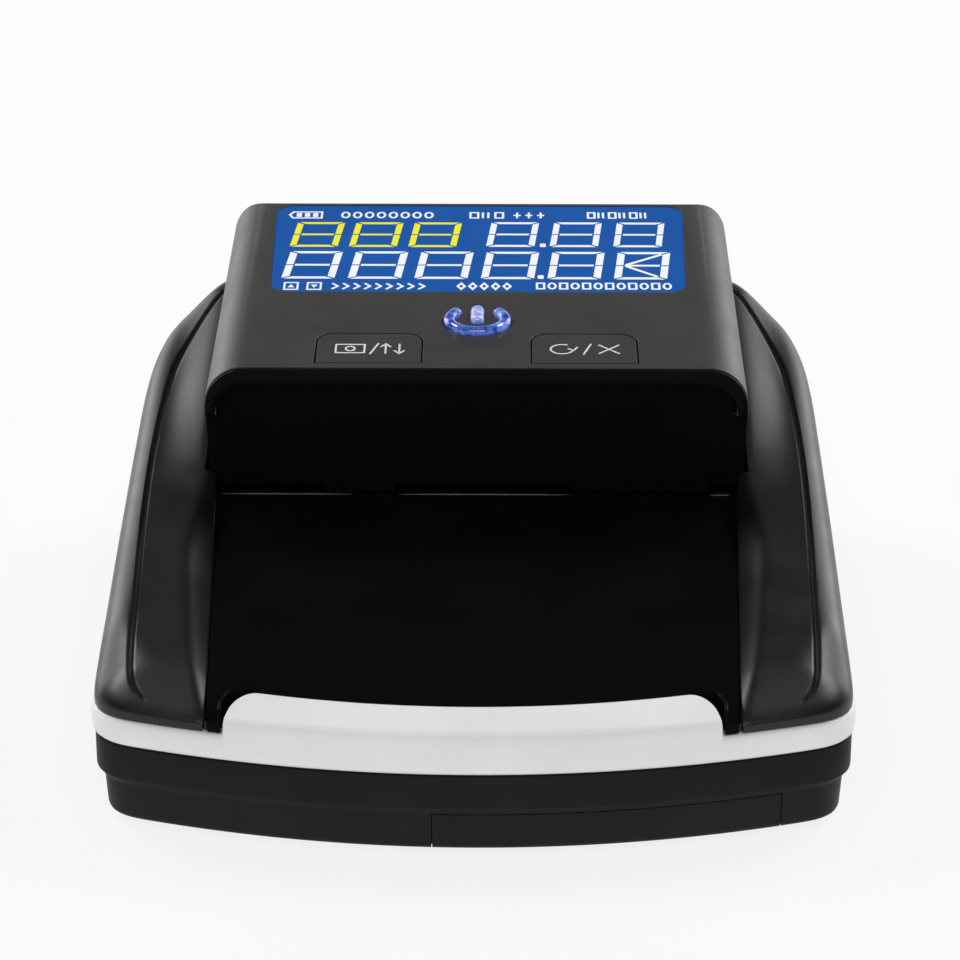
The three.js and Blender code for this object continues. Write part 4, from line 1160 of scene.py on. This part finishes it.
def digit(marks, x, s, width, height, thick, bar):
    """A seven-segment eight, leaning a little, with its lower left corner at x and s."""
    def at(u, v):
        return (x + u + DIGIT_SLANT * v, s + v)

    gap = 0.26
    middle = height / 2
    for low, high in ((0, middle), (middle, height)):
        foot = low + (0.3 if low == 0 else gap)
        head = high - (0.3 if high == height else gap)
        for outer, inner in ((0, thick), (width, width - thick)):
            bottom = bar if low == 0 else 0.0
            top = bar if high == height else 0.0
            marks.polygon([at(outer, foot), at(inner, foot + bottom), at(inner, head - top),
                           at(outer, head)])
    for v in (0, height):
        inward = bar if v == 0 else -bar
        start, end = 0.45, width - 0.45
        marks.polygon([at(start, v), at(end, v), at(end - thick, v + inward), at(start + thick, v + inward)])
    inset, rise = thick + 0.3, bar * 0.4
    marks.polygon([at(inset, middle - rise), at(width - inset, middle - rise),
                   at(width - inset, middle + rise), at(inset, middle + rise)])


def oval(x, s, half_width, half_height, angles):
    """Points on an oval at angles in degrees."""
    return [(x + half_width * math.cos(a), s + half_height * math.sin(a)) for a in np.radians(angles)]


def oblong(x, s, half_width, half_height):
    """The corners of an oblong about its middle."""
    return [(x - half_width, s - half_height), (x + half_width, s - half_height),
            (x + half_width, s + half_height), (x - half_width, s + half_height)]


def icon(marks, kind, x, s, width, height, pen):
    """A small sign in a box whose middle is at x and s."""
    w, h = width / 2, height / 2
    if kind == "coin":
        marks.line(oval(x, s, w, h, range(0, 360, 30)), pen, True)
    if kind == "note":
        marks.line(oblong(x, s, w, h), pen, True)
    if kind == "plus":
        marks.line([(x - w, s), (x + w, s)], pen)
        marks.line([(x, s + pen / 2), (x, s + h)], pen)
        marks.line([(x, s - h), (x, s - pen / 2)], pen)
    if kind == "forward":
        marks.line([(x - w, s - h), (x + w * 0.7, s), (x - w, s + h)], pen)
    if kind == "rhomb":
        marks.line([(x - w, s), (x, s - h), (x + w, s), (x, s + h)], pen, True)
    if kind == "bars":
        marks.line([(x - w, s - h), (x - w, s + h)], pen)
        marks.line([(x + w * 0.4, s - h), (x + w * 0.4, s + h)], pen)


def icon_row(marks, kinds, start, end, s, height, pen=0.42):
    """Signs side by side from one x to another."""
    pitch = (end - start) / len(kinds)
    for i, kind in enumerate(kinds):
        icon(marks, kind, start + pitch * (i + 0.5), s, pitch * 0.62, height, pen)


YELLOW_FIGURES = {"count": 3, "x": -35.3, "s": 52.6, "pitch": 11.05, "size": (8.9, 11.6, 1.15, 0.8)}
UPPER_FIGURES = {"count": 3, "x": 1.3, "s": 52.8, "pitch": 11.85, "size": (9.0, 11.6, 1.15, 0.8)}
LOWER_FIGURES = {"count": 6, "x": -36.0, "s": 38.0, "pitch": 12.15, "size": (9.7, 12.4, 1.35, 0.85)}
SIGN_ROWS = [  # the signs of each row, its two ends, and their middle and height
    (["coin"] * 8, -26.6, -8.5, 67.8, 2.6),
    (["note", "bars", "note"], -2.2, 4.9, 67.8, 2.6),
    (["plus"] * 3, 6.0, 12.7, 67.8, 2.6),
    (["note", "bars"] * 3, 20.2, 32.2, 67.9, 2.6),
    (["forward"] * 9, -26.9, -9.2, 34.6, 2.5),
    (["rhomb"] * 5, -4.1, 6.3, 34.7, 2.6),
    (["note", "coin"] * 6, 10.3, 35.4, 34.9, 2.5),
]
BATTERY_S = 67.75
POINTER_S = 34.6


def figure_row(marks, row):
    """Equal eights side by side."""
    for k in range(row["count"]):
        digit(marks, row["x"] + row["pitch"] * k, row["s"], *row["size"])


def figures(yellow, white):
    """Three yellow and three white eights over a row of six, the last of which has an arrow in it."""
    figure_row(yellow, YELLOW_FIGURES)
    figure_row(white, UPPER_FIGURES)
    figure_row(white, LOWER_FIGURES)
    last = LOWER_FIGURES["x"] + LOWER_FIGURES["pitch"] * 5
    s = LOWER_FIGURES["s"]
    lean = DIGIT_SLANT * LOWER_FIGURES["size"][1]
    white.line([(last + lean + 8.0, s + 11.3), (last + 1.9 + lean / 2, s + 6.5)], 0.6)
    white.line([(last + 1.9 + lean / 2, s + 5.9), (last + 8.0, s + 1.2)], 0.6)
    for x, y in ((11.9, 53.5), (11.4, 38.9)):
        white.polygon(rounded_box(x, y, 0.55, 0.75, 0.15, 2))


def display_marks():
    """The display's figures and signs, as on a lit test screen."""
    low = GLASS_TOP - 0.01
    yellow = Marks(low)
    white = Marks(low)
    figures(yellow, white)
    for row in SIGN_ROWS:
        icon_row(white, *row)
    battery = oblong(-32.7, BATTERY_S, 2.7, 1.45)
    white.line(battery + [(-36.1, BATTERY_S)], 0.4, True)
    for k in range(3):
        white.polygon(rounded_box(-34.3 + 1.55 * k, BATTERY_S, 0.5, 0.85, 0.1, 1))
    for x, turn in ((-34.0, 1), (-29.8, -1)):
        white.line(oblong(x, POINTER_S, 1.2, 1.5), 0.36, True)
        foot = POINTER_S - 0.55 * turn
        white.polygon([(x - 0.6, foot), (x + 0.6, foot), (x, POINTER_S + 0.7 * turn)])
    return yellow.build("display_figures_yellow"), white.build("display_figures_white")


def key_marks():
    """Signs on the two keys: a note that turns over on the left, and repeat and clear on the right."""
    low = -0.03
    pen = 0.34
    left, right = Marks(low), Marks(low)
    s = 7.6
    left.line(oblong(-22.1, s, 2.5, 1.7), pen, True)
    left.line(oval(-22.1, s, 0.8, 0.9, range(0, 360, 36)), pen, True)
    left.line([(-18.6, s - 2.2), (-17.2, s + 2.2)], pen)
    for x, up in ((-15.9, 1), (-13.5, -1)):
        left.line([(x, s - 2.0 * up), (x, s + 1.9 * up)], pen)
        left.line([(x - 0.9, s + 0.7 * up), (x, s + 2.0 * up), (x + 0.9, s + 0.7 * up)], pen)
    right.line(oval(14.9, s, 2.0, 1.9, range(60, 351, 18)), pen)
    right.line([(15.9, s + 0.3), (16.95, s - 0.5), (17.6, s + 0.9)], pen)
    right.line([(18.6, s - 2.2), (20.0, s + 2.2)], pen)
    right.line([(21.3, s - 1.8), (24.9, s + 1.8)], pen)
    right.line([(21.3, s + 1.8), (22.9, s + 0.2)], pen)
    right.line([(23.3, s - 0.2), (24.9, s - 1.8)], pen)
    return left.build("left_key_marks"), right.build("right_key_marks")


# ---------- rollers, shafts and other small parts ----------


def bevelled(inner, outer, left, right, cut=0.3):
    """The closed section of a tube with its outer corners taken off."""
    return [(inner, left), (outer - cut, left), (outer, left + cut), (outer, right - cut),
            (outer - cut, right), (inner, right)]


def tyre(radius, length, bore, grooves):
    """A rubber roller on a nylon hub, with grooves round it, as one closed section."""
    half = length / 2
    points = [(bore, -half), (bore + 1.2, -half), (bore + 1.4, -half + 0.5), (radius - 2.2, -half + 0.5),
              (radius - 2.0, -half), (radius - 0.4, -half), (radius, -half + 0.4)]
    pitch = (length - 1.6) / max(grooves, 1)
    for k in range(grooves):
        start = -half + 0.8 + pitch * (k + 0.25)
        end = start + pitch * 0.5
        floor = radius - 0.35
        points += [(radius, start), (floor, start + 0.12), (floor, end - 0.12), (radius, end)]
    back = [(r, -along) for r, along in reversed(points[:7])]
    return points + back


def roller_sets():
    """Every turning set in the note path: name, place, height, roller sizes and grooves."""
    for name, y in (("feed", FEED_Y), ("exit", EXIT_Y)):
        yield name, y, shaft_height(y), ROLLER, 47.0, 2.0, 5
        yield name + "_idler", y, idler_height(y), IDLER, 44.0, 1.5, 0


def make_rollers():
    for name, y, z, sizes, reach, radius, grooves in roller_sets():
        shaft = lathe(name + "_axle", bevelled(AXIS, radius, -reach, reach), (0, y, z))
        dress(shaft, STEEL, "steel", name + "_shaft")
        for side, x in (("left", -ROLLER_X), ("right", ROLLER_X)):
            profile = tyre(sizes["radius"], sizes["length"], sizes["bore"], grooves)
            wheel = lathe(f"{name}_wheel_{side}", profile, (x, y, z))
            dress(wheel, RUBBER, "rubber", f"{name}_roller_{side}")


def make_turned_parts():
    for name, y, belt_x in (("feed", FEED_Y, 34.3), ("exit", EXIT_Y, 38.8)):
        z = shaft_height(y)
        for side, sign in (("left", -1), ("right", 1)):
            low, high = sorted((sign * EAR["inner"], sign * EAR["outer"]))
            bush = lathe(f"{name}_sleeve_{side}", bevelled(2.3, 3.8, low, high), (0, y, z))
            dress(bush, BRONZE, "bronze", f"{name}_bush_{side}")
        start, end = belt_x - GAP, belt_x + BELT_WIDTH + GAP
        flange = [(2.3, 0.7), (5.9, 0.7), (6.2, 0.4), (6.2, 0.1), (5.0, -0.1)]
        profile = [(r, start - out) for r, out in flange] + [(r, end + out) for r, out in reversed(flange)]
        dress(lathe(f"{name}_wheel_for_belt", profile, (0, y, z)), NYLON, "nylon", f"{name}_pulley")
    for side, low, high in (("left", -50.6, -44.9), ("right", 44.9, 50.6)):
        pin = lathe(f"hinge_pivot_{side}", bevelled(AXIS, HINGE_PIN, low, high), (0, *HINGE))
        dress(pin, STEEL, "steel", f"hinge_pin_{side}")


def make_feet_and_screws():
    names = ("front_left", "front_right", "rear_left", "rear_right")
    for name, (x, y) in zip(names, corners(FOOT)):
        radius, height = FOOT["radius"], FOOT["height"]
        profile = [(AXIS, 0.35), (3.2, 0.35), (3.5, 0.0), (radius - 0.5, 0.0), (radius - 0.1, 0.4),
                   (radius, 0.9), (radius, height), (AXIS, height)]
        pad = lathe(f"foot_pad_{name}", profile, (x, y, 0), axis="Z")
        dress(pad, RUBBER, "rubber", f"rubber_foot_{name}")
    for name, (x, y) in zip(names, corners(SCREW)):
        screw = lathe("screw", screw_profile(), (x, y, 0), 40, "Z")
        arms = [rounded_box(x, y, 1.4, 0.3, 0.1, 2), rounded_box(x, y, 0.3, 1.4, 0.1, 2)]
        combine(screw, [prism("cross", arm, 1.0, 2.3) for arm in arms])
        screw.name = f"screw_{name}"
        dress(screw, STEEL, "steel", f"case_screw_{name}")


def screw_profile():
    """A pan-head screw whose head faces down, with a ridged shank."""
    points = [(AXIS, 1.7), (2.0, 1.75), (2.45, 1.95), (2.6, 2.3), (2.6, 2.7), (1.1, 2.7)]
    for k in range(16):
        points += [(1.1, 3.3 + k), (1.3, 3.8 + k)]
    return points + [(1.0, 19.4), (AXIS, 20.0)]


def refined(node, name, width, smooth=35.0):
    """A new object from a CAD node's flat faces, welded and with rounded edges."""
    obj = bpy.data.objects.new(name, frame["nodes"][node].data.copy())
    bpy.context.scene.collection.objects.link(obj)
    work = bmesh.new()
    work.from_mesh(obj.data)
    bmesh.ops.remove_doubles(work, verts=work.verts, dist=1e-6)
    bmesh.ops.dissolve_limit(work, angle_limit=math.radians(0.5), verts=work.verts, edges=work.edges)
    work.to_mesh(obj.data)
    work.free()
    for attribute in [a for a in obj.data.attributes if a.name == "custom_normal"]:
        obj.data.attributes.remove(attribute)
    tidy(obj, smooth)
    return soften(obj, width)


# ---------- materials ----------


def linear(value):
    """Linear light from an 8-bit screen value."""
    share = value / 255
    return share / 12.92 if share <= 0.04045 else ((share + 0.055) / 1.055) ** 2.4


def colour(red, green, blue):
    return (linear(red), linear(green), linear(blue), 1.0)


class Material:
    """A procedural material: a Principled shader fed by noise in the object's own coordinates."""

    def __init__(self, name):
        self.material = bpy.data.materials.new(name)
        self.material.use_nodes = True
        self.tree = self.material.node_tree
        self.shader = self.tree.nodes["Principled BSDF"]
        self.place = self.tree.nodes.new("ShaderNodeTexCoord").outputs["Object"]

    def node(self, kind, **values):
        """A new node with its inputs set."""
        node = self.tree.nodes.new(kind)
        for name, value in values.items():
            node.inputs[name.replace("_", " ")].default_value = value
        return node

    def noise(self, scale, detail=2.0, roughness=0.5):
        node = self.node("ShaderNodeTexNoise", Scale=scale, Detail=detail, Roughness=roughness)
        self.tree.links.new(self.place, node.inputs["Vector"])
        return node.outputs["Fac"]

    def spread(self, source, low, high):
        """A noise's middle range spread between two values."""
        node = self.node("ShaderNodeMapRange", From_Min=0.3, From_Max=0.7, To_Min=low, To_Max=high)
        self.tree.links.new(source, node.inputs["Value"])
        return node.outputs["Result"]

    def colours(self, source, first, second, start=0.3, end=0.7):
        node = self.tree.nodes.new("ShaderNodeValToRGB")
        for element, place, shade in zip(node.color_ramp.elements, (start, end), (first, second)):
            element.position = place
            element.color = shade
        self.tree.links.new(source, node.inputs["Fac"])
        return node.outputs["Color"]

    def bump(self, source, strength, depth):
        node = self.node("ShaderNodeBump", Strength=strength, Distance=depth * MM)
        self.tree.links.new(source, node.inputs["Height"])
        self.feed(node.outputs["Normal"], "Normal")

    def feed(self, source, socket):
        self.tree.links.new(source, self.shader.inputs[socket])

    def set(self, **values):
        for name, value in values.items():
            self.shader.inputs[name.replace("_", " ")].default_value = value


def plastic(name, first, second, rough_low, rough_high, grain, depth, **values):
    """Moulded plastic: faint colour drift, uneven gloss and a fine spark-eroded grain."""
    made = Material(name)
    made.feed(made.colours(made.noise(60, 3), first, second), "Base Color")
    made.feed(made.spread(made.noise(140, 4), rough_low, rough_high), "Roughness")
    made.bump(made.noise(grain, 3, 0.6), 0.5, depth)
    made.set(**values)
    return made.material


def metal(name, first, second, rough_low, rough_high):
    return plastic(name, first, second, rough_low, rough_high, 900, 0.004, Metallic=1.0)


def resin(name, deep, pale):
    """Clear tinted resin with pale clouds in it, lit a little from below."""
    made = Material(name)
    clouds = made.colours(made.noise(420, 4, 0.7), deep, pale, 0.42, 0.68)
    made.feed(clouds, "Base Color")
    made.feed(clouds, "Emission Color")
    made.feed(made.spread(made.noise(300, 2), 0.08, 0.18), "Roughness")
    made.set(Emission_Strength=0.25, Transmission_Weight=0.25, IOR=1.49, Coat_Weight=0.6)
    return made.material


def lit(name, first, second, strength, roughness):
    """A flat part of the lit display, whose light varies a little across it."""
    made = Material(name)
    made.feed(made.colours(made.noise(30, 2), first, second), "Emission Color")
    made.set(Base_Color=(0.01, 0.012, 0.016, 1))
    made.feed(made.spread(made.noise(200, 2), roughness * 0.8, roughness), "Roughness")
    made.set(Emission_Strength=strength, Specular_IOR_Level=0.04)
    return made.material


CASE_BLACK = plastic("case_black", colour(20, 20, 20), colour(25, 25, 25), 0.46, 0.58, 2600, 0.02,
                     Specular_IOR_Level=0.12)
COVER_BLACK = plastic("cover_black", colour(10, 10, 10), colour(13, 13, 13), 0.33, 0.4, 3200, 0.008,
                      Specular_IOR_Level=0.4)
TRAY_BLACK = plastic("tray_black", colour(11, 11, 11), colour(13, 13, 13), 0.07, 0.12, 700, 0.0006,
                     Specular_IOR_Level=0.025)
EDGE_BLACK = plastic("edge_black", colour(16, 16, 16), colour(22, 22, 22), 0.2, 0.3, 1500, 0.004)
HEAD_GREY = plastic("head_grey", colour(43, 42, 41), colour(48, 47, 46), 0.38, 0.46, 3000, 0.014)
TRIM_WHITE = plastic("trim_white", colour(225, 225, 224), colour(231, 231, 230), 0.3, 0.38, 1800, 0.003,
                     Specular_IOR_Level=0.3)
RUBBER = plastic("rubber", colour(24, 24, 24), colour(34, 34, 34), 0.7, 0.85, 1500, 0.03)
STEEL = metal("steel", colour(176, 179, 184), colour(196, 198, 202), 0.22, 0.36)
BRONZE = metal("bronze", colour(176, 138, 84), colour(196, 160, 104), 0.3, 0.45)
NYLON = plastic("nylon", colour(222, 220, 212), colour(234, 232, 226), 0.4, 0.55, 1200, 0.006)
BOARD = plastic("board", colour(22, 78, 44), colour(30, 96, 54), 0.3, 0.5, 800, 0.01)
PACK = plastic("pack", colour(34, 66, 124), colour(44, 84, 150), 0.25, 0.4, 500, 0.02)
GLASS_SMOKE = plastic("smoked_glass", colour(10, 11, 13), colour(14, 15, 18), 0.03, 0.06, 300, 0.0004)
KEY_PRINT = plastic("key_print", colour(204, 204, 204), colour(218, 218, 218), 0.5, 0.6, 1500, 0.004)
KEY_BLUE = resin("key_blue", colour(18, 48, 158), colour(122, 156, 232))
KEY_PALE = resin("key_pale", colour(120, 150, 225), colour(245, 232, 246))
SCREEN_BLUE = lit("screen_blue", colour(0, 78, 160), colour(0, 86, 170), 0.93, 0.35)
SCREEN_YELLOW = lit("screen_yellow", colour(243, 238, 28), colour(248, 243, 40), 0.95, 0.4)
SCREEN_WHITE = lit("screen_white", colour(240, 244, 250), colour(250, 252, 255), 0.95, 0.4)

BODY_OF = {node: body for body, nodes in frame["record"]["behaviour"]["bodies"].items() for node in nodes}


def dress(obj, material, slot, *nodes, body=None):
    """Gives a piece its material, and the body of the CAD nodes that it stands for. The slot argument is not
    used.
    """
    obj.data.materials.clear()
    obj.data.materials.append(material)
    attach(obj, body or BODY_OF[nodes[0]])
    if nodes:
        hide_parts(*nodes)
    return obj


# ---------- the object ----------

dress(cover_shell(), COVER_BLACK, "cover_black", "upper_cover")
dress(trim_ring(), TRIM_WHITE, "trim_white", "trim_band")
dress(case_shell(), CASE_BLACK, "case_black", "lower_case")
dress(door_plate(), CASE_BLACK, "case_black", "battery_door")
dress(tray_floor(), TRAY_BLACK, "tray_black", "note_tray")
dress(slot_edge(), EDGE_BLACK, "tray_black", body="chassis")
dress(head_shell(), HEAD_GREY, "head_grey", "head_cover")
dress(fascia(), TRAY_BLACK, "tray_black", "head_fascia")

window = soften(prism("display_pane", window_outline(0), -1.1, GLASS_TOP, PANEL), 0.1)
dress(window, SCREEN_BLUE, "display", "display_window")
yellow_figures, white_figures = display_marks()
dress(yellow_figures, SCREEN_YELLOW, "display", body="head")
dress(white_figures, SCREEN_WHITE, "display", body="head")

dress(key_cap(1), HEAD_GREY, "key_grey", "right_key")
dress(key_cap(-1), HEAD_GREY, "key_grey", "left_key")
left_marks, right_marks = key_marks()
dress(left_marks, KEY_PRINT, "key_grey", body="left_button")
dress(right_marks, KEY_PRINT, "key_grey", body="right_button")
knob, knob_bar = power_knob()
dress(knob, KEY_BLUE, "key_blue", "power_key")
dress(knob_bar, KEY_PALE, "key_blue", body="power_button")

make_rollers()
make_turned_parts()
make_feet_and_screws()

REFINED = [
    ("upper_guide", TRAY_BLACK, "tray_black", 0.25),
    ("upper_sensor_window", GLASS_SMOKE, "sensor_window", 0.15),
    ("lower_sensor_window", GLASS_SMOKE, "sensor_window", 0.15),
    ("magnetic_head", STEEL, "steel", 0.5),
    ("dc_jack", TRAY_BLACK, "black_part", 0.3),
    ("update_port", STEEL, "steel", 0.25),
    ("main_board", BOARD, "board", 0.15),
    ("display_board", BOARD, "board", 0.15),
    ("lcd_panel", GLASS_SMOKE, "display", 0.2),
    ("battery_pack", PACK, "pack", 1.2),
    ("drive_motor", STEEL, "steel", 0.4),
    ("motor_bracket", STEEL, "steel", 0.2),
    ("motor_pulley", NYLON, "nylon", 0.12),
    ("feed_belt", RUBBER, "rubber", 0.12),
    ("exit_belt", RUBBER, "rubber", 0.12),
    ("speaker", RUBBER, "black_part", 0.5),
    ("encoder_sensor", TRAY_BLACK, "black_part", 0.3),
    ("encoder_disc", GLASS_SMOKE, "black_part", 0.08),
]
for node, look, slot, width in REFINED:
    dress(refined(node, f"{node}_part", width), look, slot, node)


# ---------- stage, light and camera ----------


def stage_floor():
    size = 4000.0
    floor = new_object("floor", [(-size, -size, 0), (size, -size, 0), (size, size, 0), (-size, size, 0)],
                       [(0, 1, 2, 3)])
    made = Material("floor")
    made.set(Base_Color=(0.12, 0.12, 0.12, 1), Roughness=0.9, Specular_IOR_Level=0.0)
    made.set(Emission_Color=(0.93, 0.93, 0.93, 1), Emission_Strength=0.9)
    floor.data.materials.append(made.material)


def sky():
    """Even light near the horizon, and a dark ceiling, so that glossy black stays black."""
    world = bpy.data.worlds.new("studio")
    world.use_nodes = True
    bpy.context.scene.world = world
    tree = world.node_tree
    place = tree.nodes.new("ShaderNodeTexCoord").outputs["Generated"]
    split = tree.nodes.new("ShaderNodeSeparateXYZ")
    ramp = tree.nodes.new("ShaderNodeValToRGB")
    stops = [(0.0, 1.0), (0.1, 1.0), (0.3, 0.2), (0.45, 0.03), (1.0, 0.06)]
    while len(ramp.color_ramp.elements) < len(stops):
        ramp.color_ramp.elements.new(0.5)
    for element, (position, value) in zip(ramp.color_ramp.elements, stops):
        element.position = position
        element.color = (value, value, value, 1)
    tree.links.new(place, split.inputs["Vector"])
    tree.links.new(split.outputs["Z"], ramp.inputs["Fac"])
    tree.links.new(ramp.outputs["Color"], tree.nodes["Background"].inputs["Color"])
    tree.nodes["Background"].inputs["Strength"].default_value = 1.2


LIGHT_TARGET = Vector((0.0, 0.0, 0.03))


def softbox(name, place, width, height, power):
    """An oblong lamp, placed in metres, that faces the middle of the object."""
    data = bpy.data.lights.new(name, "AREA")
    data.shape = "RECTANGLE"
    data.size = width
    data.size_y = height
    data.energy = power
    lamp = bpy.data.objects.new(name, data)
    lamp.location = place
    lamp.rotation_mode = "QUATERNION"
    lamp.rotation_quaternion = (LIGHT_TARGET - Vector(place)).to_track_quat("-Z", "Y")
    bpy.context.scene.collection.objects.link(lamp)


def camera():
    elevation = math.radians(22.68)
    azimuth = math.radians(0.49)
    distance = 620.0
    target = Vector((0.5, 11.0, 30.94))
    away = Vector((math.sin(azimuth) * math.cos(elevation), -math.cos(azimuth) * math.cos(elevation),
                   math.sin(elevation)))
    data = bpy.data.cameras.new("camera")
    data.sensor_width = 36.0
    data.lens = 129.1
    data.clip_start = 0.05
    data.clip_end = 20.0
    obj = bpy.data.objects.new("camera", data)
    obj.location = (target + away * distance) * MM
    obj.rotation_mode = "QUATERNION"
    obj.rotation_quaternion = (-away).to_track_quat("-Z", "Y")
    bpy.context.scene.collection.objects.link(obj)
    bpy.context.scene.camera = obj


bpy.context.scene.view_settings.view_transform = "Standard"
stage_floor()
sky()
softbox("front_light", (0.0, -1.1, 1.3), 1.2, 0.7, 10)
for side in (-1, 1):
    softbox("high_light", (side * 0.6, 0.42, 0.9), 0.46, 0.24, 5.0)
    softbox("rear_light", (side * 0.82, 0.84, 0.44), 0.6, 0.65, 3.6)
camera()

bpy.context.view_layer.update()
